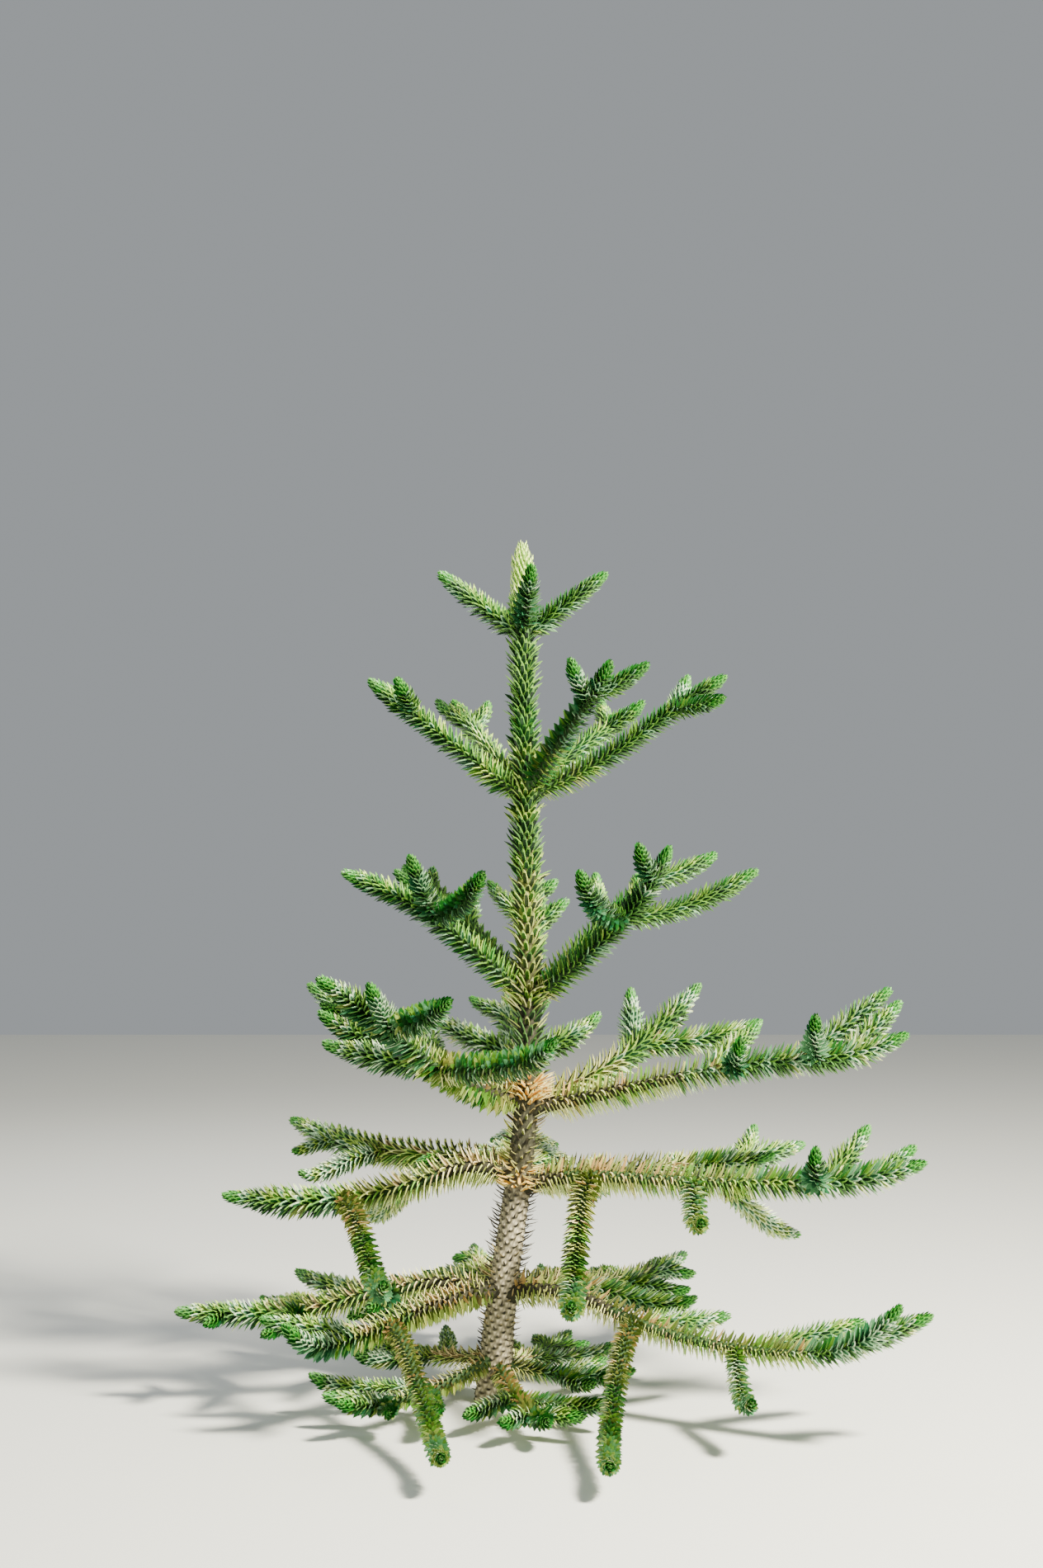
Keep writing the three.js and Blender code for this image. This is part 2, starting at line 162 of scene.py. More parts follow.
def linear(colour: Colour) -> tuple[float, float, float, float]:
    """Turns a screen colour into the shader's own.

    Args:
        colour: Red, green and blue, 0 to 255.
    Returns:
        Red, green, blue and alpha, 0 to 1.
    """
    parts = [c / 255 for c in colour]
    return (*(p / 12.92 if p < 0.04045 else ((p + 0.055) / 1.055) ** 2.4 for p in parts), 1.0)


def math_operators(operation: str) -> tuple[Callable, Callable]:
    """Makes an operator and its reflected form, which add a Math node.

    Args:
        operation: The node's operation.
    Returns:
        Both operators.
    """

    def plain(self: "ShaderValue", other: object) -> "ShaderValue":
        """Works on self and other."""
        return self.graph.add("ShaderNodeMath", {"operation": operation}, {0: self, 1: other})

    def reflected(self: "ShaderValue", other: object) -> "ShaderValue":
        """Works on other and self."""
        return self.graph.add("ShaderNodeMath", {"operation": operation}, {0: other, 1: self})

    return plain, reflected


class ShaderValue:
    """An output of a shader node. Arithmetic on it adds Math nodes."""

    def __init__(self, graph: "ShaderGraph", socket: bpy.types.NodeSocket) -> None:
        """Keeps the graph and the socket."""
        self.graph = graph
        self.socket = socket

    __add__, __radd__ = math_operators("ADD")
    __sub__, __rsub__ = math_operators("SUBTRACT")
    __mul__, __rmul__ = math_operators("MULTIPLY")


class ShaderGraph:
    """The nodes of one material."""

    def __init__(self, name: str) -> None:
        """Makes an empty material with this name."""
        self.material = bpy.data.materials.new(name)
        self.material.use_nodes = True
        self.material.node_tree.nodes.clear()

    def add(
        self,
        kind: str,
        settings: dict[str, object] | None = None,
        sockets: dict[str | int, object] | None = None,
        output: str | int = 0,
    ) -> ShaderValue:
        """Adds a node.

        Args:
            kind: The node's type.
            settings: Properties, set first. "stops" holds a ramp's (place, colour) pairs.
            sockets: Values or links of the inputs, by name, identifier or number.
            output: The output to return.
        Returns:
            That output.
        """
        node = self.material.node_tree.nodes.new(kind)
        for name, value in (settings or {}).items():
            if name == "stops":
                self._set_stops(node.color_ramp, value)
            else:
                setattr(node, name, value)
        for name, value in (sockets or {}).items():
            self._feed(self._find(node.inputs, name), value)
        return ShaderValue(self, self._find(node.outputs, output)) if node.outputs else None

    @staticmethod
    def _find(sockets: bpy.types.bpy_prop_collection, name: str | int) -> bpy.types.NodeSocket:
        """Finds a socket by its number, identifier or name."""
        if isinstance(name, int):
            return sockets[name]
        return next((s for s in sockets if s.identifier == name), None) or sockets[name]

    def _feed(self, socket: bpy.types.NodeSocket, value: object) -> None:
        """Links a ShaderValue to a socket, or sets any other value on it."""
        if isinstance(value, ShaderValue):
            self.material.node_tree.links.new(value.socket, socket)
        else:
            socket.default_value = value

    @staticmethod
    def _set_stops(ramp: bpy.types.ColorRamp, stops: Sequence[tuple[float, tuple]]) -> None:
        """Sets a ramp's stops from (place, colour) pairs in order."""
        while len(ramp.elements) < len(stops):
            ramp.elements.new(1.0)
        for element, (place, colour) in zip(ramp.elements, stops):
            element.position = place
            element.color = colour

    def mixed(self, share: object, first: object, second: object) -> ShaderValue:
        """Mixes two colours.

        Args:
            share: How much of the second shows, 0 to 1.
            first: A colour or a link.
            second: A colour or a link.
        Returns:
            The mixed colour.
        """
        sockets = {"Factor_Float": share, "A_Color": first, "B_Color": second}
        return self.add("ShaderNodeMix", {"data_type": "RGBA"}, sockets, "Result_Color")

    def noise(self, place: ShaderValue, scale: float, detail: float) -> ShaderValue:
        """Returns noise at a place, at a scale and with octaves of detail."""
        return self.add("ShaderNodeTexNoise", None, {"Vector": place, "Scale": scale, "Detail": detail})

    def bump(self, strength: float, distance: float, height: ShaderValue) -> ShaderValue:
        """Returns the surface's direction over small heights."""
        sockets = {"Strength": strength, "Distance": distance, "Height": height}
        return self.add("ShaderNodeBump", None, sockets)

    def finish(self, sockets: dict[str | int, object]) -> bpy.types.Material:
        """Adds the surface shader and the output.

        Args:
            sockets: Values or links of the surface shader.
        Returns:
            The material.
        """
        surface = self.add("ShaderNodeBsdfPrincipled", None, sockets)
        self.add("ShaderNodeOutputMaterial", None, {"Surface": surface})
        return self.material


@dataclass(frozen=True)
class LeafFinish:
    """A stiff waxy leaf surface in one plain colour."""

    name: str
    colour: Colour
    roughness: float
    coat: float
    coat_roughness: float = 0.35

    @cache
    def material(self) -> bpy.types.Material:
        """Builds the material, once for each finish."""
        sockets = {"Base Color": linear(self.colour), "Roughness": self.roughness}
        sockets |= {"Coat Weight": self.coat, "Coat Roughness": self.coat_roughness}
        return ShaderGraph(self.name).finish(sockets)


@dataclass(frozen=True)
class BarkFinish:
    """Bark with raised leaf cushions, painted shade darkening the furrows between them, dark stub marks painted as the
    dead stubs together with their shadows, and a colour that changes with height.

    Stain and grain show where their noise is over the first number, the more so by the second.
    """

    name: str
    foot: Colour
    middle: Colour
    top: Colour
    # Colour of the painted shade in the furrows, also used for the stub marks.
    furrow: Colour
    stain: Colour
    heights: tuple[float, ...] = (0.5, 0.68, 1.14, 1.44)
    ramp_height: float = 2.5
    blotch_scale: float = 26.0
    fibre_scale: float = 420.0
    fibre_stretch: float = 0.22
    stain_noise: Pair = (0.42, 2.2)
    grain_noise: Pair = (0.4, 0.4)
    # Furrow relief, fibre and share set where the painted furrow shade falls and how dark it gets.
    furrow_relief: Pair = (0.88, 0.3)
    furrow_fibre: float = 0.3
    furrow_share: float = 0.66
    bump: Pair = (0.5, 0.0012)
    bump_fibre: float = 0.6
    bump_blotch: float = 0.4
    roughness: Pair = (0.78, 0.2)

    def material(self) -> bpy.types.Material:
        """Builds the material. The mesh carries how high it stands on a cushion, and where the stubs are."""
        graph = ShaderGraph(self.name)
        place = graph.add("ShaderNodeTexCoord", output="Object")
        height = graph.add("ShaderNodeSeparateXYZ", None, {"Vector": place}, "Z")
        relief = graph.add("ShaderNodeAttribute", {"attribute_name": "relief"}, None, "Fac")
        stub = graph.add("ShaderNodeAttribute", {"attribute_name": "stub"}, None, "Fac")
        blotch = graph.noise(place, self.blotch_scale, 4.0)
        stretched = {0: place, 1: (1.0, 1.0, self.fibre_stretch)}
        fibre_place = graph.add("ShaderNodeVectorMath", {"operation": "MULTIPLY"}, stretched)
        fibre = graph.noise(fibre_place, self.fibre_scale, 3.0)
        colours = (self.foot, self.middle, self.middle, self.top)
        stops = [(at / self.ramp_height, linear(colour)) for at, colour in zip(self.heights, colours)]
        colour = graph.add("ShaderNodeValToRGB", {"stops": stops}, {"Fac": height * (1 / self.ramp_height)})
        for noise, (start, slope), paint in (
            (blotch, self.stain_noise, self.stain),
            (fibre, self.grain_noise, self.foot),
        ):
            colour = graph.mixed((noise - start) * slope, colour, linear(paint))
        # Painted shade: the colour darkens from the cushion crests down into the furrows.
        crest, bottom = self.furrow_relief
        span = {"Value": relief + fibre * self.furrow_fibre, "From Min": crest, "From Max": bottom}
        furrow = graph.add("ShaderNodeMapRange", None, span, "Result")
        colour = graph.mixed(furrow * self.furrow_share, colour, linear(self.furrow))
        # The stub mark paints each dead stub dark together with its own shadow.
        colour = graph.mixed(stub, colour, linear(self.furrow))
        bump = graph.bump(*self.bump, fibre * self.bump_fibre + blotch * self.bump_blotch)
        least, more = self.roughness
        return graph.finish({"Base Color": colour, "Roughness": least + fibre * more, "Normal": bump})


@dataclass(frozen=True)
class TwigFinish:
    """The green to brown skin of a leafy shoot, seen between its leaves."""

    name: str
    skin: Colour
    shade: Colour
    mottle_scale: float = 90.0
    mottle_noise: Pair = (0.3, 1.8)
    bump: Pair = (0.4, 0.001)
    roughness: Pair = (0.7, 0.2)

    def material(self) -> bpy.types.Material:
        """Builds the material."""
        graph = ShaderGraph(self.name)
        place = graph.add("ShaderNodeTexCoord", output="Object")
        mottle = graph.noise(place, self.mottle_scale, 3.0)
        start, slope = self.mottle_noise
        colour = graph.mixed((mottle - start) * slope, linear(self.skin), linear(self.shade))
        bump = graph.bump(*self.bump, mottle)
        least, more = self.roughness
        return graph.finish({"Base Color": colour, "Roughness": least + mottle * more, "Normal": bump})


@dataclass(frozen=True)
class LeafLook:
    """The finishes of a leaf's face, its edge and its back. The edge is lighter than the face, partly the leaf's pale
    margin and partly a painted highlight. The back is darker, as painted shade.
    """

    face: LeafFinish
    edge: LeafFinish
    back: LeafFinish


def look(name: str, face: Colour, edge: Colour, back: Colour, roughness: float = 0.46) -> LeafLook:
    """Names the three finishes of a look.

    Args:
        name: What the leaf is like.
        face: Colour of the side towards the shoot's tip.
        edge: Colour of the thin rim, its pale margin lightened further as a painted highlight.
        back: Colour of the side towards the shoot's start, darker than the face as painted shade.
        roughness: Of all three.
    Returns:
        The look.
    """
    coat = 0.12 if roughness < 0.6 else 0.0
    parts = (("face", face), ("edge", edge), ("back", back))
    return LeafLook(*(LeafFinish(f"{name}_leaf_{part}", colour, roughness, coat) for part, colour in parts))


class Tint(Enum):
    """The looks that leaves are dealt, from the growing tip inwards."""

    # Each look's edge is lighter than its face, partly its pale margin and partly a painted highlight. Its back is
    # darker, as painted shade.
    LEADER = look("leader", (138, 186, 60), (204, 230, 112), (118, 170, 50))
    BUD = look("bud", (22, 110, 24), (70, 150, 40), (10, 90, 14))
    FRESH = look("fresh", (18, 94, 22), (80, 146, 46), (6, 70, 12))
    GREEN = look("green", (20, 88, 22), (114, 166, 58), (6, 56, 12))
    DEEP = look("deep", (12, 62, 18), (82, 130, 56), (2, 34, 8))
    LIME = look("lime", (84, 132, 30), (178, 208, 84), (44, 90, 16))
    BLUE = look("blue", (26, 90, 52), (138, 188, 132), (10, 64, 34))
    # SILVER's whitish look paints the sheen of sunlit leaves.
    SILVER = look("silver", (76, 132, 86), (196, 224, 178), (54, 104, 70))
    OLIVE = look("olive", (76, 96, 28), (190, 200, 100), (36, 52, 12))
    STRAW = look("straw", (152, 156, 72), (230, 228, 150), (92, 102, 40))
    PALE = look("pale", (138, 160, 74), (224, 236, 162), (120, 142, 66))
    TAN = look("tan", (178, 142, 80), (236, 212, 150), (112, 90, 44), 0.72)
    PEACH = look("peach", (228, 180, 78), (255, 238, 158), (192, 142, 54), 0.72)
    BROWN = look("brown", (92, 80, 40), (170, 148, 90), (56, 46, 22), 0.8)
    THORN = look("thorn", (34, 28, 18), (58, 50, 34), (22, 18, 10), 0.9)


TINTS = list(Tint)


# Growth


class SeededRandom:
    """A plain repeatable row of numbers from 0 to 1."""

    FACTOR = 1664525
    ADDEND = 1013904223
    SPAN = 4294967296

    def __init__(self, seed: int) -> None:
        """Starts the row."""
        self.state = seed

    def draw(self) -> float:
        """Returns the next number."""
        self.state = (self.state * self.FACTOR + self.ADDEND) % self.SPAN
        return self.state / self.SPAN


def smooth(x: Numbers, start: float = 0.0, span: float = 1.0) -> Numbers:
    """Returns a soft step, from 0 at the start to 1 at the end of a span."""
    x = np.clip((x - start) / span, 0.0, 1.0)
    return x * x * (3 - 2 * x)


def lerp(a: Numbers, b: Numbers, share: Numbers) -> Numbers:
    """Returns the value at a share of the way from a to b."""
    return a + (b - a) * share


def half_up(x: float) -> int:
    """Rounds to the nearest whole number, halves up."""
    return math.floor(x + 0.5)


HOOK = (-12, -46, -42, -20, 46)
SHORT_HOOK = (-14, -36, -28, 6, 42)
TRAIL = (-6, -24, -20, -8, 16)
STEEP = (30, 42, 50, 54, 58)
RISE = (8, 12, 17, 22, 30)
SLANT = (20, 26, 30, 32, 36)
FLAT = (4, 6, 8, 14, 24)


@dataclass(frozen=True)
class ShootPlan:
    """A side shoot: where it leaves its arm, its swing from the arm's heading, its length and its slopes."""

    share: float
    swing: float
    reach: float
    climb: Slopes


@dataclass(frozen=True)
class ArmPlan:
    """An arm: its azimuth from +X towards +Y, its length, its slopes and its own side shoots."""

    azimuth: float
    reach: float
    climb: Slopes | None = None
    shoots: tuple[ShootPlan, ...] | None = None


@dataclass(frozen=True)
class WhorlPlan:
    """A whorl of arms.

    fade and yellowing are the shares of an arm whose leaves are dead and yellowing. stand is how far its old
    leaves lean from the shoot, in degrees, at their roots and tips, pitch is their spacing along it, and
    fullness scales how far they stand off.
    """

    height: float
    leaves: Pair
    climb: Slopes
    arms: tuple[ArmPlan, ...]
    forks: tuple[float, ...] = ()
    spread: float = 60
    side_share: float = 0.9
    droop: float = 0
    bough: bool = False
    fade: float = 0.0
    yellowing: float = 0.0
    stand: Pair = (64, 80)
    pitch: float = 1.6
    fullness: float = 1.22
    worn_fade: float = 0.1

    @property
    def worn(self) -> bool:
        """Returns whether the whorl is old enough for dead leaves, and for silver looks that paint a sheen on its
        leaves.
        """
        return self.fade > self.worn_fade


def arm(azimuth: float, reach: float, climb: Slopes | None = None, *shoots: tuple) -> ArmPlan:
    """Writes an arm in short.

    Args:
        azimuth: Degrees from +X towards +Y.
        reach: Length along the arm.
        climb: Slopes at even shares, or None for the whorl's own.
        shoots: (share, swing, reach, climb) of each side shoot.
    Returns:
        The arm's plan.
    """
    return ArmPlan(azimuth, reach, climb, tuple(ShootPlan(*s) for s in shoots) or None)


WHORLS = (
    WhorlPlan(
        height=2214, leaves=(44, 28), climb=(36, 36, 37, 38, 40), yellowing=0.22, stand=(58, 70), pitch=1.5,
        fullness=1.2, arms=(arm(2, 315), arm(279, 265, (32, 36, 42, 46, 52)), arm(180, 315), arm(95, 300)),
    ),
    WhorlPlan(
        height=1752, leaves=(47, 30), forks=(0.68,), side_share=0.95, climb=(28, 34, 34, 32, 36), droop=34,
        yellowing=0.3, stand=(58, 70), pitch=1.7,
        arms=(
            arm(352, 690, (16, 28, 36, 33, 34), (0.71, 74, 165, STEEP), (0.73, -42, 200, FLAT)),
            arm(
                300, 590, (30, 36, 34, 34, 54),
                (0.73, -70, 155, (36, 44, 48, 50, 54)), (0.75, 48, 200, SLANT),
            ),
            arm(195, 580, (26, 38, 36, 34, 40)),
            arm(42, 560, (30, 29, 28, 27, 26)),
            arm(122, 560),
        ),
    ),
    WhorlPlan(
        height=1143, leaves=(50, 36), forks=(0.52, 0.8), spread=62, side_share=0.85,
        climb=(42, 40, 38, 34, 34), droop=32, fade=0.05, yellowing=0.22, stand=(60, 70), pitch=1.7,
        fullness=1.16,
        arms=(
            arm(
                340, 650, (38, 40, 42, 56, 68),
                (0.6, -106, 340, (0, 14, 30, 42, 52)), (0.6, 36, 425, (4, 12, 22, 28, 34)),
                (0.82, -100, 170, (26, 36, 44, 50, 56)), (0.82, 44, 220, (10, 16, 22, 28, 36)),
            ),
            arm(
                196, 675, (44, 40, 38, 24, 20),
                (0.54, 58, 265, STEEP), (0.55, 110, 350, (10, 16, 24, 32, 42)),
            ),
            arm(34, 640), arm(142, 640), arm(88, 620),
        ),
    ),
    WhorlPlan(
        height=846, leaves=(57, 40), forks=(0.44, 0.72), spread=64, side_share=0.8,
        climb=(16, 18, 24, 30, 38), droop=16, bough=True, fade=0.16, yellowing=0.45,
        arms=(
            arm(
                350, 1130, (10, 14, 11, 4, 30),
                (0.54, -80, 175, (4, 24, 46, 58, 64)), (0.48, 62, 280, SLANT),
                (0.7, 38, 380, (22, 30, 34, 36, 38)), (0.75, -95, 200, STEEP),
                (0.82, 46, 260, (28, 34, 38, 40, 44)),
            ),
            arm(
                216, 820, (12, 22, 38, 34, 30),
                (0.4, 104, 520, (3, 5, 8, 22, 42)), (0.62, 34, 220, STEEP),
                (0.43, -40, 330, (4, 8, 12, 16, 28)), (0.66, 96, 345, RISE),
            ),
            arm(37, 765, (16, 17, 26, 36, 40), (0.58, 62, 250, STEEP), (0.6, -36, 400, (4, 4, 8, 16, 30))),
            arm(156, 800), arm(96, 780),
        ),
    ),
    WhorlPlan(
        height=622, leaves=(57, 42), forks=(0.27, 0.52, 0.76), spread=70, side_share=0.72,
        climb=(20, -2, 0, 8, 20), droop=-24, bough=True, fade=0.3, yellowing=0.62,
        arms=(
            arm(
                345, 1190, (16, -2, 1, 4, 24),
                (0.182, -90, 645, HOOK), (0.44, -82, 300, SHORT_HOOK),
                (0.5, 50, 330, (-36, -42, -38, -24, 0)), (0.75, 62, 245, (24, 34, 40, 42, 46)),
                (0.73, -90, 200, (6, 28, 50, 60, 66)), (0.86, 46, 180, SLANT),
            ),
            arm(
                188, 880, (32, -20, -10, 2, 12),
                (0.6, 106, 620, (-2, -32, -30, -6, 48)), (0.36, -72, 400, SHORT_HOOK),
            ),
            arm(
                30, 1050, (10, -2, -1, 4, 12),
                (0.27, 64, 430, (-10, -16, -16, -8, 6)), (0.52, 58, 320, (-8, -14, -14, -6, 10)),
                (0.54, -48, 300, (4, 6, 8, 12, 26)), (0.77, 50, 190, SLANT),
            ),
            arm(142, 950), arm(90, 860),
        ),
    ),
    WhorlPlan(
        height=306, leaves=(50, 36), forks=(0.33, 0.6, 0.82), spread=66, side_share=0.75,
        climb=(2, -10, -6, 4, 22), droop=-12, bough=True, fade=0.4, yellowing=0.72,
        arms=(
            arm(
                330, 1290, (22, -20, -4, 6, 60),
                (0.34, -75, 850, TRAIL), (0.36, 62, 300, (-6, -4, 0, 4, 12)),
                (0.58, -64, 330, SHORT_HOOK), (0.62, 56, 360, (6, 6, 8, 12, 16)),
                (0.8, 34, 300, (14, 18, 22, 24, 28)),
            ),
            arm(220, 800, (4, -8, -12, -4, 64), (0.51, 71, 790, TRAIL), (0.62, -46, 300, FLAT)),
            arm(186, 960, (26, -8, -14, 0, 8)),
            arm(46, 860), arm(148, 780), arm(98, 760),
        ),
    ),
    WhorlPlan(
        height=120, leaves=(42, 32), forks=(0.42, 0.7), spread=56, climb=(-16, -8, -2, 4, 24), fade=0.4,
        yellowing=0.65, stand=(60, 72), pitch=1.8, fullness=1.0,
        arms=(arm(283, 620), arm(230, 660), arm(66, 520), arm(140, 540), arm(350, 420)),
    ),
)


@dataclass(frozen=True)
class TrunkForm:
    """The trunk's centre line and thickness, in millimetres."""

    top: float = 2256
    tree_top: float = 2482
    radius_base: float = 48
    radius_top: float = 14
    taper: float = 0.8
    flare: float = 0.28
    flare_height: float = 70
    flare_lobes: int = 5
    lobe_depth: float = 0.1
    lean: float = 96
    lean_height: float = 980
    lean_back: float = 17
    leaf_reaches: Pair = (10, 34)
    leaf_height: float = 1300

    def centre(self, z: Numbers) -> Array:
        """Returns the centre at a height, or one row for each height."""
        back = self.lean_back * smooth(z, self.lean_height, self.tree_top - self.lean_height)
        x = self.lean * smooth(z, 0, self.lean_height) - back
        return np.stack([x, np.zeros_like(x), np.broadcast_to(z, np.shape(x))], -1).astype(float)

    def radius(self, z: Numbers) -> Numbers:
        """Returns the plain radius at a height."""
        return lerp(self.radius_base, self.radius_top, (np.clip(z, 0, self.top) / self.top) ** self.taper)

    def flared(self, z: Array, angle: Array) -> Array:
        """Returns the radius with the root flare at a height and an angle."""
        foot = np.exp(-z / self.flare_height)
        lobe = self.lobe_depth * foot * np.cos(self.flare_lobes * angle)
        return self.radius(z) * (1 + self.flare * foot + lobe)

    def leaf_reach(self, z: Numbers) -> Numbers:
        """Returns how far the trunk's own leaves reach from its centre."""
        return self.radius(z) + lerp(*self.leaf_reaches, smooth(z, 0, self.leaf_height))

    def along(self, z: Array) -> Array:
        """Returns the directions in which the trunk runs on at heights."""
        return unit(self.centre(z + 5) - self.centre(z - 5))


@dataclass
class ShootLine:
    """The line that a shoot grows along: even points, each with a heading and the reach of its leaves."""

    owner: str
    points: Array
    headings: Array
    reach: Array
    step: float = 10

    @property
    def length(self) -> float:
        """Returns the length along the line."""
        return (len(self.points) - 1) * self.step

    def shorten(self, count: int) -> None:
        """Keeps the first points only."""
        self.points = self.points[:count]
        self.headings = self.headings[:count]
        self.reach = self.reach[:count]

    def frames(self, distances: Array) -> tuple[Array, ...]:
        """Carries a frame along the line without twist.

        Args:
            distances: Distances from the line's start.
        Returns:
            Points, headings, and two directions across, one row for each distance.
        """
        across = np.zeros_like(self.headings)
        side = UP if abs(self.headings[0][2]) < 0.9 else BACK
        for i, heading in enumerate(self.headings):
            side = side - heading * side.dot(heading)
            side = side / np.linalg.norm(side)
            across[i] = side
        place = np.clip(distances / self.step, 0, len(self.points) - 1)
        low = np.minimum(place.astype(int), len(self.points) - 2)
        share = (place - low)[:, None]
        points = lerp(self.points[low], self.points[low + 1], share)
        along = unit(lerp(self.headings[low], self.headings[low + 1], share))
        side = squared(lerp(across[low], across[low + 1], share), along)
        return points, along, side, np.cross(along, side)


def unit(vectors: Array) -> Array:
    """Returns the rows of an array at unit length."""
    return vectors / np.linalg.norm(vectors, axis=-1, keepdims=True)


def squared(vectors: Array, along: Array) -> Array:
    """Returns the rows of an array turned square to those of another, at unit length."""
    return unit(vectors - along * (vectors * along).sum(1, keepdims=True))


def round_line(angle: Array, first: Array, second: Array) -> Array:
    """Returns the directions at angles from the first of two directions to the second."""
    return np.cos(angle)[..., None] * first + np.sin(angle)[..., None] * second


@dataclass
class Arm:
    """An arm of a whorl with its main line and side shoots."""

    whorl: WhorlPlan
    label: str
    line: ShootLine
    azimuth: float
    turn: float
    length: float
    climb: Slopes
    shoots: tuple[ShootPlan, ...] | None
    gap: float
    sides: list[ShootLine] = field(default_factory=list)


def arms_of(arms: list[Arm], w: int) -> list[Arm]:
    """Returns the arms of a whorl, numbered from 0 at the top."""
    return [one for one in arms if one.whorl is WHORLS[w]]


@dataclass
class Crown:
    """Grows every arm and side shoot by the tree's own rule."""

    trunk: TrunkForm
    step: float = 10
    ground_gap: float = 14
    ground_climb: float = 4
    clearance: float = 6
    shortest: float = 110
    taper: float = 0.8
    stagger: float = 9
    turn_range: float = 14
    fork_stagger: float = 0.015
    fork_range: float = 0.03
    reach_range: Pair = (0.92, 0.16)
    swing_range: Pair = (0.94, 0.12)
    side_rise: Pair = (6, 12)
    side_inset: float = 3
    side_turn: float = 16
    side_tip_climb: float = 44
    seed: int = 11

    @staticmethod
    def slope_at(climb: Slopes, share: float) -> float:
        """Returns the slope at a share of a line's length."""
        place = min(share, 1) * (len(climb) - 1)
        low = min(math.floor(place), len(climb) - 2)
        return lerp(climb[low], climb[low + 1], place - low)

    def grow_line(
        self,
        owner: str,
        start: Array,
        length: float,
        bend: Callable[[float], Pair],
        reach_at: Callable[[float], float],
    ) -> ShootLine:
        """Grows one line, which runs on along the ground where it meets it.

        Args:
            owner: Label of the arm.
            start: First point.
            length: Length along the line.
            bend: Gives the slope and azimuth, in degrees, at a share of the length.
            reach_at: Gives how far the leaves stand off at a share of the length.
        Returns:
            The line.
        """
        steps = half_up(length / self.step)
        at = np.array(start, float)
        points, headings, reaches = [at.copy()], [], []
        for i in range(steps + 1):
            slope, azimuth = bend(i / steps)
            reach = reach_at(i / steps)
            low = at[2] < reach + self.ground_gap
            climb = math.radians(max(slope, self.ground_climb) if low else slope)
            heading = math.radians(azimuth)
            flat = math.cos(climb)
            headings.append([flat * math.cos(heading), flat * math.sin(heading), math.sin(climb)])
            reaches.append(reach)
            if i < steps:
                at = at + np.array(headings[-1]) * self.step
                points.append(at.copy())
        return ShootLine(owner, np.array(points), np.array(headings), np.array(reaches), self.step)

    def _main(self, w: int, a: int, random: SeededRandom) -> Arm:
        """Grows the main line of an arm.

        Args:
            w: The whorl's number, from 0 at the top.
            a: The arm's number in its whorl.
            random: The tree's random row.
        Returns:
            The arm.
        """
        whorl = WHORLS[w]
        plan = whorl.arms[a]
        climb = plan.climb or whorl.climb
        turn = 0.0 if plan.shoots else (random.draw() - 0.5) * self.turn_range
        line = self.grow_line(
            f"{w}.{a}",
            self.trunk.centre(whorl.height + (self.stagger if a % 2 else -self.stagger)),
            plan.reach,
            lambda share: (self.slope_at(climb, share), plan.azimuth + turn * share),
            lambda share: lerp(*whorl.leaves, share**self.taper),
        )
        others = [other.azimuth for k, other in enumerate(whorl.arms) if k != a]
        gap = min(abs((other - plan.azimuth + 540) % 360 - 180) for other in others)
        label = f"{w + 1}_{a + 1}"
        return Arm(whorl, label, line, plan.azimuth, turn, plan.reach, climb, plan.shoots, gap)

    def _pairs(self, arm: Arm, random: SeededRandom) -> list[ShootPlan]:
        """Plans the pairs of side shoots of an arm without shoots of its own.

        Args:
            arm: The arm.
            random: The tree's random row.
        Returns:
            Its side shoots, fork by fork.
        """
        shoots = []
        least_reach, more_reach = self.reach_range
        least_swing, more_swing = self.swing_range
        whorl = arm.whorl
        for fork in whorl.forks:
            for side in (1, -1):
                share = fork + side * self.fork_stagger + (random.draw() - 0.5) * self.fork_range
                reach = whorl.side_share * arm.length * (1 - share)
                reach = reach * (least_reach + more_reach * random.draw())
                swing = side * whorl.spread * (least_swing + more_swing * random.draw())
                own, droop = self.slope_at(arm.climb, share), whorl.droop
                climb = (own + self.side_rise[0], (own + droop) / 2, droop, droop + self.side_rise[1])
                shoots.append(ShootPlan(share, swing, reach, (*climb, self.side_tip_climb)))
        return shoots

    def _clear_count(self, line: ShootLine, grown: list[ShootLine]) -> int:
        """Counts the points of a line that stay clear of every line of another arm."""
        others = [g for g in grown if g.owner != line.owner]
        points = np.concatenate([g.points[::2] for g in others])
        reach = np.concatenate([g.reach[: len(g.points)][::2] for g in others])
        apart = np.linalg.norm(line.points[:, None] - points[None], axis=2)
        touching = (apart < line.reach[:, None] + reach[None] + self.clearance).any(axis=1)
        return int(touching.argmax()) if touching.any() else len(line.points)

    def _side(self, arm: Arm, plan: ShootPlan, grown: list[ShootLine]) -> None:
        """Grows a side shoot and keeps it if it is long enough.

        Args:
            arm: The arm that it leaves.
            plan: The shoot's plan.
            grown: All lines grown so far, which the shoot joins.
        """
        index = half_up(plan.share * arm.length / self.step)
        start_azimuth = arm.azimuth + arm.turn * plan.share + plan.swing
        turn_back = -math.copysign(self.side_turn, plan.swing)
        near, far = arm.line.reach[index] - self.side_inset, arm.whorl.leaves[1]
        shoot = self.grow_line(
            arm.line.owner,
            arm.line.points[index],
            plan.reach,
            lambda part: (self.slope_at(plan.climb, part), start_azimuth + turn_back * part),
            lambda part: lerp(near, far, part**self.taper),
        )
        shoot.shorten(self._clear_count(shoot, grown))
        if len(shoot.points) * self.step >= self.shortest:
            grown.append(shoot)
            arm.sides.append(shoot)

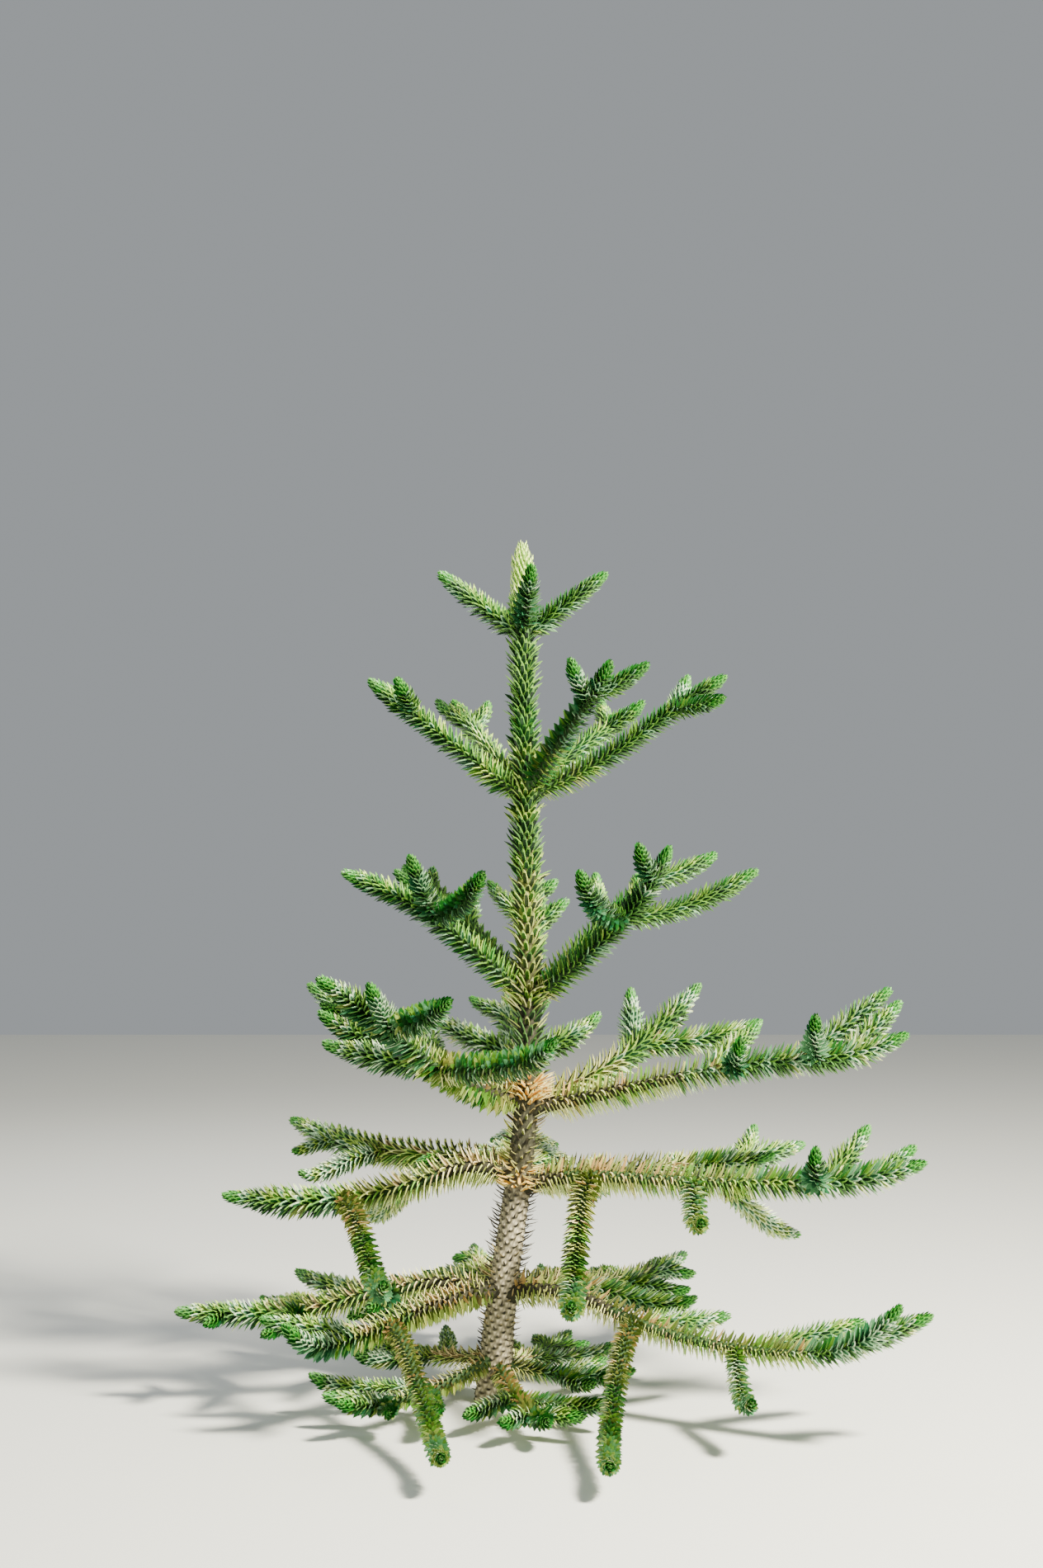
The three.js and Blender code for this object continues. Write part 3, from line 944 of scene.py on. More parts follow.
    def grow(self) -> list[Arm]:
        """Grows all arms.

        Returns:
            The arms, whorl by whorl from the top.
        """
        random = SeededRandom(self.seed)
        places = [(w, a) for w, whorl in enumerate(WHORLS) for a in range(len(whorl.arms))]
        arms = [self._main(w, a, random) for w, a in places]
        heights = np.arange(0, self.trunk.tree_top, self.step)
        reach = self.trunk.leaf_reach(np.minimum(heights, self.trunk.top))
        centres = self.trunk.centre(heights)
        grown = [ShootLine("trunk", centres, centres, reach, self.step), *(a.line for a in arms)]
        for one in arms:
            for plan in one.shoots or ():
                self._side(one, plan, grown)
        paired = [(one, self._pairs(one, random)) for one in arms if not one.shoots]
        for i in range(max(len(plans) for _, plans in paired)):
            for one, plans in paired:
                if i < len(plans):
                    self._side(one, plans[i], grown)
        return arms


# Meshes


def add_object(name: str, data: bpy.types.ID) -> bpy.types.Object:
    """Makes an object and puts it into the scene."""
    item = bpy.data.objects.new(name, data)
    bpy.context.scene.collection.objects.link(item)
    return item


def new_object(name: str, mesh: bpy.types.Mesh, slot: str, nodes: Sequence[str]) -> None:
    """Puts a mesh into the scene as a piece of the tree.

    Args:
        name: The piece's name.
        mesh: Its mesh, in place.
        slot: The material slot of the record.
        nodes: The nodes that it stands for.
    """
    piece = add_object(name, mesh)
    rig.ride(piece, BODY)
    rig.slot(piece, slot)
    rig.replaces(piece, *nodes)
    LOG.info("%s: %d triangles", name, len(mesh.loops) - 2 * len(mesh.polygons))


def mesh_of(name: str, points: Array, corners: Array, sizes: Array) -> bpy.types.Mesh:
    """Makes a mesh from arrays.

    Args:
        name: The mesh's name.
        points: Vertices, in millimetres.
        corners: Vertex numbers, face after face.
        sizes: How many corners each face has.
    Returns:
        The mesh, in metres.
    """
    mesh = bpy.data.meshes.new(name)
    mesh.vertices.add(len(points))
    mesh.vertices.foreach_set("co", (points * MM).astype(np.float32).ravel())
    mesh.loops.add(len(corners))
    mesh.loops.foreach_set("vertex_index", corners.astype(np.int32))
    mesh.polygons.add(len(sizes))
    starts = np.concatenate([[0], np.cumsum(sizes)[:-1]])
    mesh.polygons.foreach_set("loop_start", starts.astype(np.int32))
    mesh.update(calc_edges=True)
    return mesh


@dataclass
class LeafBatch:
    """Leaves that wait to be made into one mesh, one row for each leaf."""

    root: Array
    along: Array
    out: Array
    length: Array
    width: Array
    lean_root: Array
    lean_tip: Array
    roll: Array
    tint: Array

    @staticmethod
    def joined(batches: Sequence["LeafBatch"]) -> "LeafBatch":
        """Joins batches into one."""
        names = LeafBatch.__dataclass_fields__
        return LeafBatch(*(np.concatenate([getattr(b, n) for b in batches]) for n in names))

    def __len__(self) -> int:
        """Returns how many leaves there are."""
        return len(self.length)

    def chosen(self, kept: Array) -> "LeafBatch":
        """Returns the leaves that a mask keeps."""
        return LeafBatch(*(getattr(self, n)[kept] for n in self.__dataclass_fields__))


@dataclass(frozen=True)
class LeafShape:
    """The form of one leaf: a stiff pointed blade, its back bevelled down to a thin rim."""

    stations: tuple[float, ...] = (0.0, 0.34, 0.72, 1.0)
    widths: tuple[float, ...] = (0.88, 1.0, 0.72)
    depths: tuple[float, ...] = (1.0, 0.9, 0.6)
    back_share: float = 0.56
    thickness: float = 0.055

    POINTS = 13  # three rings of four and the tip

    def points(self, leaves: LeafBatch) -> Array:
        """Works out the corners of all leaves.

        Args:
            leaves: The leaves.
        Returns:
            Thirteen points for each leaf: three rings of four, then the tip.
        """
        side = np.cross(leaves.along, leaves.out)
        centre = leaves.root.copy()
        rings = []
        for k, station in enumerate(self.stations):
            lean = lerp(leaves.lean_root, leaves.lean_tip, station)[:, None]
            if k:
                run = (station - self.stations[k - 1]) * leaves.length[:, None]
                middle = (lean + last) / 2
                centre = centre + run * (np.sin(middle) * leaves.out + np.cos(middle) * leaves.along)
            last = lean
            if k == len(self.widths):
                break
            up = -np.cos(lean) * leaves.out + np.sin(lean) * leaves.along
            roll = leaves.roll[:, None]
            wide = (np.cos(roll) * side + np.sin(roll) * up) * leaves.width[:, None] * self.widths[k] / 2
            thick = (np.cos(roll) * up - np.sin(roll) * side) * leaves.length[:, None]
            thick = thick * self.thickness * self.depths[k]
            back = wide * self.back_share
            rings += [centre + wide, centre - wide, centre - back - thick, centre + back - thick]
        rings.append(centre)
        return np.stack(rings, axis=1)

    @staticmethod
    def faces() -> tuple[Array, Array, Array]:
        """Lists one leaf's faces.

        Returns:
            Their corners in a row, their sizes, and which finish each has: 0 face, 1 edge, 2 back.
        """
        finish_of_side = (0, 1, 2, 1)
        corners, sizes, finishes = [3, 2, 1, 0], [4], [2]
        for ring in (0, 4):
            for j in range(4):
                k = (j + 1) % 4
                corners += [ring + j, ring + k, ring + 4 + k, ring + 4 + j]
                sizes.append(4)
                finishes.append(finish_of_side[j])
        for j in range(4):
            corners += [8 + j, 8 + (j + 1) % 4, 12]
            sizes.append(3)
            finishes.append(0 if j == 0 else 1)
        return np.array(corners), np.array(sizes), np.array(finishes)

    def build(self, name: str, leaves: LeafBatch, slot: str, nodes: Sequence[str]) -> None:
        """Makes leaves into one piece with their finishes.

        Args:
            name: The piece's name.
            leaves: Its leaves.
            slot: The material slot of the record.
            nodes: The nodes that it stands for.
        """
        corners, sizes, finishes = self.faces()
        count = len(leaves)
        all_corners = (corners[None] + self.POINTS * np.arange(count)[:, None]).ravel()
        mesh = mesh_of(name, self.points(leaves).reshape(-1, 3), all_corners, np.tile(sizes, count))
        slot_of = np.zeros(len(TINTS), int)
        for place, tint in enumerate(sorted(set(leaves.tint.tolist()))):
            slot_of[tint] = place * 3
            kinds = TINTS[tint].value
            for finish in (kinds.face, kinds.edge, kinds.back):
                mesh.materials.append(finish.material())
        numbers = slot_of[leaves.tint][:, None] + finishes[None]
        mesh.polygons.foreach_set("material_index", numbers.ravel().astype(np.int32))
        mesh.shade_flat()
        new_object(name, mesh, slot, nodes)
        LOG.info("%s: %d leaves", name, count)


@dataclass
class LeafDealer:
    """Deals looks to leaves spray by spray. Rows of looks are for leaves above, on the flanks and below, and paint how
    light falls on a shoot: on green shoots the upper row is lighter and the lower row darker.
    """

    rng: np.random.Generator
    leaves_in_spray: int = 8
    wander: float = 0.14
    # Leaves pointing up past above take the upper row, and those pointing down past below take the lower row, which
    # paint light and shade.
    above: float = 0.42
    below: float = -0.35
    # Length from the tip of the painted backlit halo on hanging shoots, and of the standing tips' looks.
    halo: float = 260
    standing: float = 0.75
    tip: float = 75
    hanging_tip: float = 50
    green_tip: float = 85
    fade_wander: float = 0.6

    # Rows are upper, flank and lower. On green leaves the upper rows are lighter and the lower ones darker, painted
    # light from above and painted shade beneath. The lower rows of turning and dead leaves are pale.
    WORN = (
        dict(lime=0.22, green=0.4, silver=0.3, pale=0.08),
        dict(green=0.3, deep=0.34, blue=0.18, silver=0.18),
        dict(deep=0.5, blue=0.15, silver=0.2, pale=0.15),
    )
    YOUNG = (
        dict(lime=0.2, fresh=0.25, green=0.55),
        dict(green=0.5, deep=0.35, blue=0.15),
        dict(deep=0.6, blue=0.25, green=0.15),
    )
    TURNED = (
        dict(olive=0.35, straw=0.25, lime=0.3, tan=0.1),
        dict(olive=0.4, green=0.4, lime=0.2),
        dict(pale=0.6, lime=0.25, green=0.15),
    )
    DEAD = (
        dict(tan=0.4, straw=0.25, olive=0.35),
        dict(olive=0.65, straw=0.25, brown=0.1),
        dict(pale=0.65, straw=0.25, olive=0.1),
    )

    def draw(self, count: int) -> Array:
        """Returns one random share for each leaf, the same throughout a spray."""
        sprays = count // self.leaves_in_spray + 1
        return np.repeat(self.rng.random(sprays), self.leaves_in_spray)[:count]

    @staticmethod
    def pick(draw: Array, **weights: float) -> Array:
        """Picks among looks by weight.

        Args:
            draw: Random shares.
            weights: The weight of each look, by its name in small letters. They add up to 1.
        Returns:
            The number of each leaf's look.
        """
        limits = np.cumsum(list(weights.values()))
        numbers = np.array([TINTS.index(Tint[name.upper()]) for name in weights])
        return numbers[np.minimum(np.searchsorted(limits, draw), len(numbers) - 1)]

    def for_shoot(
        self,
        share: Array,
        left: Array,
        up: Array,
        steep: float,
        hanging: bool,
        worn: bool,
        fade: float,
        yellow: float,
    ) -> Array:
        """Deals the looks along a shoot.

        Args:
            share: Each leaf's share of the shoot's length.
            left: How far each leaf is from the shoot's tip.
            up: How much each leaf points up, -1 to 1, which picks its row of painted light and shade.
            steep: How steeply the shoot's tip stands, 0 to 1.
            hanging: Whether the shoot hangs down.
            worn: Whether its whorl has dead leaves and silver looks that paint a sheen.
            fade: Share of the shoot whose leaves are dead.
            yellow: Share of the shoot whose leaves are yellowing.
        Returns:
            The number of each leaf's look.
        """
        draw = self.draw(len(share))
        wander = (self.draw(len(share)) - 0.5) * self.wander

        def rows(choices: tuple[dict[str, float], ...]) -> Array:
            """Picks by row, which paints light and shade by how much a leaf points up."""
            upper, flank, lower = (self.pick(draw, **row) for row in choices)
            return np.select([up + wander > self.above, up + wander < self.below], [upper, lower], flank)

        tints = rows(self.WORN if worn else self.YOUNG)
        # Hanging tips get pale and silver looks, a painted halo of backlit leaves.
        if hanging:
            tints = np.where(left < self.halo, self.pick(draw, pale=0.25, silver=0.6, lime=0.15), tints)
        elif steep > self.standing:
            # Standing tips get silver looks, a painted sheen, with more of it on worn whorls.
            silver_sheen = 0.5 if worn else 0.08
            stands = self.pick(draw, silver=silver_sheen, blue=0.35, deep=0.65 - silver_sheen)
            tints = np.where(left < self.halo, stands, tints)
        tip = self.hanging_tip if hanging else self.tip
        tints = np.where(left < tip, self.pick(draw, bud=0.55, fresh=0.45), tints)
        turning = (share + wander < yellow) & (left > self.green_tip)
        if not worn:
            return np.where(turning, self.pick(draw, lime=0.25, olive=0.2, green=0.55), tints)
        turned, dead = rows(self.TURNED), rows(self.DEAD)
        if hanging:
            turned = self.pick(draw, lime=0.3, olive=0.3, green=0.4)
            dead = self.pick(draw, olive=0.6, straw=0.2, tan=0.2)
        tints = np.where(turning, turned, tints)
        return np.where(share + wander * self.fade_wander < fade, dead, tints)


@dataclass
class Foliage:
    """The leaves of the arms, laid in spirals along every shoot.

    A stand is how far a leaf leans from the shoot, in degrees, at its root and its tip. A leaf's size is its
    length and width. A span is where, from the shoot's tip, one kind of leaf starts to change to the next,
    and over what length.
    """

    arms: list[Arm]
    trunk: TrunkForm
    wood_root: float = 21
    wood_tip: float = 6
    thick_length: float = 900
    bud: float = 26
    heart: float = 11
    heart_stand: Pair = (5, -9)
    heart_share: float = 0.74
    heart_wood: float = 0.2
    tip_stand: Pair = (24, 4)
    tip_leaf: Pair = (26, 11)
    tip_pitch: float = 1.3
    pitch_span: Pair = (60, 140)
    side_pitch: float = 0.85
    club_stand: Pair = (42, 28)
    club_leaf: Pair = (36, 13)
    club_length: float = 70
    stand: Pair = (46, 62)
    grown_span: Pair = (80, 120)
    grown_width: float = 0.3
    old_span: Pair = (220, 480)
    old_width: float = 0.25
    longest: float = 58
    sunk: float = 1
    trunk_gap: float = 4
    side_start: float = 14
    beside_gap: float = 24
    inward_gap: float = 14
    least_reach: float = 34
    hanging_reach: float = 0.79
    hanging_slope: float = -0.36
    fading_span: Pair = (250, 350)
    side_fading: float = 0.4
    twist: float = -0.42
    hanging_twist: float = 0.4
    old_twist: float = 0.6
    sag: float = 0.95
    turn_jitter: float = 0.03
    length_jitter: float = 0.05
    stand_jitter: Pair = (0.045, 0.06)
    twist_jitter: float = 0.16
    shape: LeafShape = LeafShape(thickness=0.075)

    def wood(self, line: ShootLine, distances: Array) -> Array:
        """Returns the radius of the wood under the leaves at distances along a line."""
        thick = lerp(self.wood_tip, self.wood_root, min(line.length / self.thick_length, 1.0))
        return lerp(thick, self.wood_tip, distances / line.length)

    def near_trunk(self, arm: Arm, distances: Array) -> Array:
        """Returns how far leaves may reach beside an arm close to the trunk."""
        slope = math.radians(abs(arm.climb[0]))
        beside = distances * math.sin(math.radians(arm.gap / 2)) + self.beside_gap
        inward = distances * math.cos(slope) - self.trunk.radius(arm.whorl.height) + self.inward_gap
        return np.maximum(np.minimum(beside, inward / max(math.sin(slope), 0.1)), self.least_reach)

    def places(self, arm: Arm, line: ShootLine, start: float, step: float = 0.5) -> Array:
        """Spaces the leaves of a line, closer towards its tip.

        Args:
            arm: The arm it belongs to.
            line: The line.
            start: Distance of the first leaf.
            step: Fineness of the sum.
        Returns:
            The distance of each leaf.
        """
        fine = np.arange(start, line.length - self.bud, step)
        full = arm.whorl.pitch * (1.0 if line is arm.line else self.side_pitch)
        numbers = np.cumsum(step / lerp(self.tip_pitch, full, smooth(line.length - fine, *self.pitch_span)))
        return np.interp(np.arange(int(numbers[-1])), numbers, fine)

    def lay(self, arm: Arm, line: ShootLine, start: float, dealer: LeafDealer) -> LeafBatch:
        """Lays the leaves of one line.

        Args:
            arm: The arm it belongs to.
            line: The line.
            start: Distance of the first leaf.
            dealer: Deals the leaves' looks.
        Returns:
            The leaves.
        """
        rng, whorl, is_main = dealer.rng, arm.whorl, line is arm.line
        distances = self.places(arm, line, start)
        count = len(distances)
        points, along, across, third = line.frames(distances)
        turn = GOLDEN_TURN * np.arange(count) + rng.random() * math.tau
        out = round_line(turn + rng.normal(0, self.turn_jitter, count), across, third)
        left = line.length - distances
        reach = np.interp(distances, np.arange(len(line.reach)) * line.step, line.reach) * whorl.fullness
        hanging = bool(line.headings[:, 2].min() < self.hanging_slope)
        if hanging:
            reach = reach * self.hanging_reach
        if is_main:
            reach = np.minimum(reach, self.near_trunk(arm, distances))
        opened = smooth(left, self.bud, self.heart)
        club = smooth(left, self.bud, self.club_length)
        grown = smooth(left, *self.grown_span)
        old = smooth(left, *self.old_span) * is_main
        leans = []
        stands = (self.heart_stand, self.tip_stand, self.club_stand, self.stand, whorl.stand)
        for closed, tip, young, green, aged in zip(*stands):
            fresh = lerp(lerp(closed, tip, opened), young, club)
            leans.append(np.radians(lerp(fresh, lerp(green, aged, old), grown)))
        wood = self.wood(line, distances) * lerp(self.heart_wood, 1.0, smooth(left, self.bud, 2 * self.heart))
        full = np.minimum((reach - wood) / np.sin((leans[0] + leans[1]) / 2), self.longest)
        length = lerp(lerp(self.tip_leaf[0], self.club_leaf[0], club), full, grown)
        wide = length * lerp(self.grown_width, self.old_width, old)
        width = lerp(lerp(self.tip_leaf[1], self.club_leaf[1], club), wide, grown)
        length = length * rng.normal(1, self.length_jitter, count) * lerp(self.heart_share, 1.0, opened)
        lean_root, lean_tip = (
            lean + rng.normal(0, jitter, count) for lean, jitter in zip(leans, self.stand_jitter)
        )
        root = points + out * (wood - self.sunk)[:, None]
        steep = float(np.clip(line.headings[-1][2], 0, 1))
        fading = float(np.clip((line.length - self.fading_span[0]) / self.fading_span[1], 0, 1))
        if not is_main and not hanging:
            fading *= self.side_fading
        ages = (hanging, whorl.worn, whorl.fade * fading, whorl.yellowing * fading)
        # Each leaf's upward direction picks its row of painted light and shade.
        tint = dealer.for_shoot(distances / line.length, left, out[:, 2], steep, *ages)
        twist = self.twist * (self.hanging_twist if hanging else lerp(1.0, self.old_twist, old))
        roll = twist + rng.normal(0, self.twist_jitter, count)
        blade = out.copy()
        if whorl.worn:
            blade[:, 2] -= self.sag * old * np.sqrt(1 - np.minimum(out[:, 2] ** 2, 1))
            blade = squared(blade, along)
        return LeafBatch(root, along, blade, length, width, lean_root, lean_tip, roll, tint)

    def leaves_of(self, arm: Arm, dealer: LeafDealer) -> LeafBatch:
        """Lays the leaves of an arm and its side shoots."""
        slope = math.radians(arm.climb[0])
        start = (self.trunk.radius(arm.whorl.height) + self.trunk_gap) / math.cos(slope)
        batches = [self.lay(arm, arm.line, start, dealer)]
        batches += [self.lay(arm, side, self.side_start, dealer) for side in arm.sides]
        return LeafBatch.joined(batches)

    def build(self, seed: int = 100) -> None:
        """Makes the leaves of each whorl into pieces, each whorl with a seed of its own."""
        for w in range(len(WHORLS)):
            dealer = LeafDealer(np.random.default_rng(seed + w))
            laid = [(one, self.leaves_of(one, dealer)) for one in arms_of(self.arms, w)]
            total = sum(len(batch) for _, batch in laid)
            parts = math.ceil(total / MOST_LEAVES)
            groups: list[list] = [[] for _ in range(parts)]
            filled = 0
            for one, batch in laid:
                groups[min(int(filled / total * parts), parts - 1)].append((one, batch))
                filled += len(batch)
            for number, group in enumerate(groups, 1):
                nodes = [f"foliage_{one.label}" for one, _ in group]
                nodes += [f"bough_{one.label}" for one, _ in group if one.whorl.bough]
                leaves = LeafBatch.joined([batch for _, batch in group])
                self.shape.build(f"leaves_{w + 1}_part_{number}", leaves, "leaves", nodes)


@dataclass(frozen=True)
class LeafCushions:
    """Diamond cushions in the spiral order of the leaves, which give the bark its relief.

    Each takes up an even area, which may change to another between two distances along the stem.
    """

    area: float
    far_area: float | None = None
    change: Pair = (1150, 650)
    tallness: float = 2.1
    overlap: float = 1.1
    # Size of a stub's mark, which the bark paints as the dead stub and its shadow.
    stub: Pair = (7.0, 3.8)
    stub_core: float = 1.7
    stub_rise: float = 2

    def places(self, length: float, radius_at: Callable[[Array], Array]) -> Array:
        """Works out where the cushions sit.

        Args:
            length: Length of the stem.
            radius_at: Gives the stem's radius at distances along it.
        Returns:
            The distance of each cushion along the stem.
        """
        fine = np.arange(0, length + 1.0, 1.0)
        area = lerp(self.area, self.far_area or self.area, smooth(fine, *self.change))
        numbers = np.concatenate([[0], np.cumsum((math.tau * radius_at(fine) / area)[:-1])])
        return np.interp(np.arange(int(numbers[-1])), numbers, fine)

    def relief(self, distance: Array, angle: Array, radius: Array, places: Array) -> Array:
        """Works out how high points stand on their cushions, and how near they are to a stub.

        Args:
            distance: Distances along the stem.
            angle: Angles round it.
            radius: The stem's radius at each point.
            places: Where the cushions sit.
        Returns:
            Pairs: 0 in the furrows to 1 on the crest, and 0 off a stub to 1 on it.
        """
        half_width = math.sqrt(self.area * self.overlap / (2 * self.tallness))
        half_height = half_width * self.tallness
        nearest = np.searchsorted(places, distance)
        span = int(math.ceil(half_height / float(np.diff(places).min())))
        height, stub = np.zeros_like(distance), np.zeros_like(distance)
        for offset in range(-span, span + 1):
            number = np.clip(nearest + offset, 0, len(places) - 1)
            apart = ((angle - number * GOLDEN_TURN + math.pi) % math.tau - math.pi) * radius
            above = distance - places[number]
            height = np.maximum(height, 1 - np.abs(apart) / half_width - np.abs(above) / half_height)
            off_stub = np.hypot(apart / self.stub[0], (above - self.stub_rise) / self.stub[1])
            stub = np.maximum(stub, self.stub_core - off_stub)
        return np.stack([height, np.clip(stub, 0, 1)], -1)


def tube_arrays(rings: Array) -> tuple[Array, Array, Array]:
    """Lists the points and faces of a closed tube.

    Args:
        rings: Points, ring by ring, with equal counts.
    Returns:
        Points, corners and face sizes. The ends are closed by flat faces.
    """
    count, sides = rings.shape[:2]
    numbers = np.arange(count * sides).reshape(count, sides)
    low, high = numbers[:-1], numbers[1:]
    quads = np.stack([low, np.roll(low, -1, 1), np.roll(high, -1, 1), high], -1).reshape(-1, 4)
    corners = np.concatenate([quads.ravel(), numbers[0][::-1], numbers[-1]])
    sizes = np.concatenate([np.full(len(quads), 4), [sides, sides]])
    return rings.reshape(-1, 3), corners, sizes


def build_tubes(
    name: str,
    tubes: Sequence[tuple[Array, Array]],
    finish: BarkFinish | TwigFinish,
    slot: str,
    nodes: Sequence[str],
) -> None:
    """Joins tubes into one smooth piece that carries their relief and stubs.

    Args:
        name: The piece's name.
        tubes: Rings of points, and the relief and stub share of each point.
        finish: Its finish.
        slot: The material slot of the record.
        nodes: The nodes that it stands for.
    """
    points, corners, sizes, reliefs = [], [], [], []
    first = 0
    for rings, relief in tubes:
        tube_points, tube_corners, tube_sizes = tube_arrays(rings)
        points.append(tube_points)
        corners.append(tube_corners + first)
        sizes.append(tube_sizes)
        reliefs.append(relief.reshape(-1, 2))
        first += len(tube_points)
    mesh = mesh_of(name, np.concatenate(points), np.concatenate(corners), np.concatenate(sizes))
    values = np.concatenate(reliefs).astype(np.float32)
    for column, kind in enumerate(("relief", "stub")):
        mesh.attributes.new(kind, "FLOAT", "POINT").data.foreach_set("value", values[:, column].copy())
    mesh.shade_smooth()
    mesh.materials.append(finish.material())
    new_object(name, mesh, slot, nodes)


@dataclass
class TrunkBark:
    """The trunk with its root flare and the relief of its old leaf cushions."""

    trunk: TrunkForm
    finish: BarkFinish
    sides: int = 96
    row: float = 3.4
    upper_row: float = 12.0
    change: float = 1180
    relief_depth: float = 4.2
    depth_taper: float = 0.7
    even_height: float = 0.35
    stub_height: float = 0.5
    cushions: LeafCushions = LeafCushions(area=430, far_area=150)

    def places(self) -> Array:
        """Returns the heights of the leaf cushions."""
        return self.cushions.places(self.trunk.top, self.trunk.radius)

    def build(self) -> None:
        """Makes the trunk's piece."""
        lower = np.arange(0, self.change, self.row)
        upper = np.arange(self.change, self.trunk.top, self.upper_row)
        angles = np.arange(self.sides) * math.tau / self.sides
        z, angle = np.meshgrid(np.concatenate([lower, upper, [self.trunk.top]]), angles, indexing="ij")
        plain = self.trunk.radius(z)
        relief = self.cushions.relief(z, angle, plain, self.places())
        depth = self.relief_depth * (plain / self.trunk.radius_base) ** self.depth_taper
        raised = (relief[..., 0] - self.even_height + relief[..., 1] * self.stub_height) * depth
        radius = self.trunk.flared(z, angle) + raised
        rings = self.trunk.centre(z) + round_line(angle, RIGHT, BACK) * radius[..., None]
        build_tubes("trunk_bark", [(rings, relief)], self.finish, "bark", ["trunk"])


@dataclass
class TrunkLeaves:
    """The leaves on the trunk: dark dead thorns below, dead leaves in the middle, green ones above.

    Pairs are a thorn's and a grown leaf's. Bands hold the looks below each height.
    """

    trunk: TrunkForm
    bark: TrunkBark
    shape: LeafShape = LeafShape(thickness=0.07, back_share=0.76)
    tufts: tuple[float, ...] = (1156, 886, 638)
    tuft_leaves: int = 54
    tuft_spread: float = 30
    tuft_width: float = 38
    tuft_lean: float = 20
    burst_height: float = 1000
    first: float = 24
    grown_span: Pair = (560, 560)
    root_lean: Pair = (80, 40)
    tip_lean: Pair = (52, 50)
    widths: Pair = (5.5, 15.5)
    tuft_leaf_width: float = 11
    lengths: Pair = (18, 34)
    length_height: float = 420
    longest: float = 60
    grown_length: float = 1.4
    tuft_length: float = 0.6
    tuft_share: float = 0.35
    rise: float = 4
    sunk: float = 1
    stand_jitter: Pair = (0.16, 0.2)
    length_jitter: float = 0.14
    twist: float = -0.25
    twist_jitter: float = 0.2
    seed: int = 7

    BANDS = (
        (1860, dict(green=0.5, deep=0.2, lime=0.3)),
        (1490, dict(green=0.35, olive=0.3, lime=0.35)),
        (1330, dict(olive=0.55, deep=0.3, lime=0.15)),
        (1110, dict(deep=0.45, olive=0.4, green=0.15)),
        (900, dict(thorn=0.3, brown=0.25, straw=0.45)),
        (640, dict(thorn=0.8, brown=0.2)),
    )

    def lay(self) -> LeafBatch:
        """Lays every leaf of the trunk.

        Returns:
            The leaves from the foot up.
        """
        rng = np.random.default_rng(self.seed)
        places = self.bark.places()
        numbers = np.arange(len(places))[(places > self.first) & (places < self.trunk.top - self.rise)]
        spread = np.linspace(-self.tuft_spread, self.tuft_spread, self.tuft_leaves)
        z = np.concatenate([places[numbers], *(height + spread for height in self.tufts)])
        count = len(z)
        angle = np.concatenate([numbers, np.arange(count - len(numbers)) + 0.5]) * GOLDEN_TURN
        along = self.trunk.along(z)
        out = squared(round_line(angle, RIGHT, BACK), along)
        grown = smooth(z, *self.grown_span)
        tuft = sum(np.exp(-(((z - height) / self.tuft_width) ** 2)) for height in self.tufts)
        more = self.tuft_lean * tuft
        lean_root, lean_tip = (
            np.radians(lerp(*ends, grown) + more) + rng.normal(0, jitter, count)
            for ends, jitter in zip((self.root_lean, self.tip_lean), self.stand_jitter)
        )
        length = lerp(*self.lengths, smooth(z, 0, self.length_height)) * lerp(1, self.grown_length, grown)
        length = length * rng.normal(1, self.length_jitter, count) * (1 + self.tuft_length * tuft)
        length = np.minimum(length, self.longest)
        width = lerp(lerp(*self.widths, grown), self.tuft_leaf_width, np.clip(tuft, 0, 1))
        stem = (self.trunk.flared(z, angle) - self.sunk)[:, None]
        root = self.trunk.centre(z) + out * stem + along * self.rise
        roll = rng.normal(self.twist, self.twist_jitter, count)
        tint = self.looks(z, tuft, rng)
        return LeafBatch(root, along, out, length, width, lean_root, lean_tip, roll, tint)

    def looks(self, z: Array, tuft: Array, rng: np.random.Generator) -> Array:
        """Deals the looks up the trunk.

        Args:
            z: Heights.
            tuft: How near each leaf is to the middle of a tuft, 0 to 1.
            rng: The random source.
        Returns:
            The number of each leaf's look.
        """
        dealer = LeafDealer(rng, leaves_in_spray=9)
        draw = dealer.draw(len(z))
        tint = dealer.pick(draw, deep=0.45, green=0.4, fresh=0.15)
        for height, weights in self.BANDS:
            tint = np.where(z < height, dealer.pick(draw, **weights), tint)
        burst = dealer.pick(draw, peach=0.8, straw=0.2)
        light = dealer.pick(draw, straw=0.7, lime=0.3)
        return np.where(tuft > self.tuft_share, np.where(z < self.burst_height, burst, light), tint)

    def build(self) -> None:
        """Makes the trunk's leaves into a lower, dead piece and an upper, green one."""
        leaves = self.lay()
        low = leaves.root[:, 2] < WHORLS[2].height
        for name, kept, slot, numbers in (
            ("trunk_thorns", low, "old_leaves", (1, 2, 3)),
            ("trunk_leaf_sprays", ~low, "leaves", (4, 5, 6)),
        ):
            self.shape.build(name, leaves.chosen(kept), slot, [f"trunk_leaves_{n}" for n in numbers])


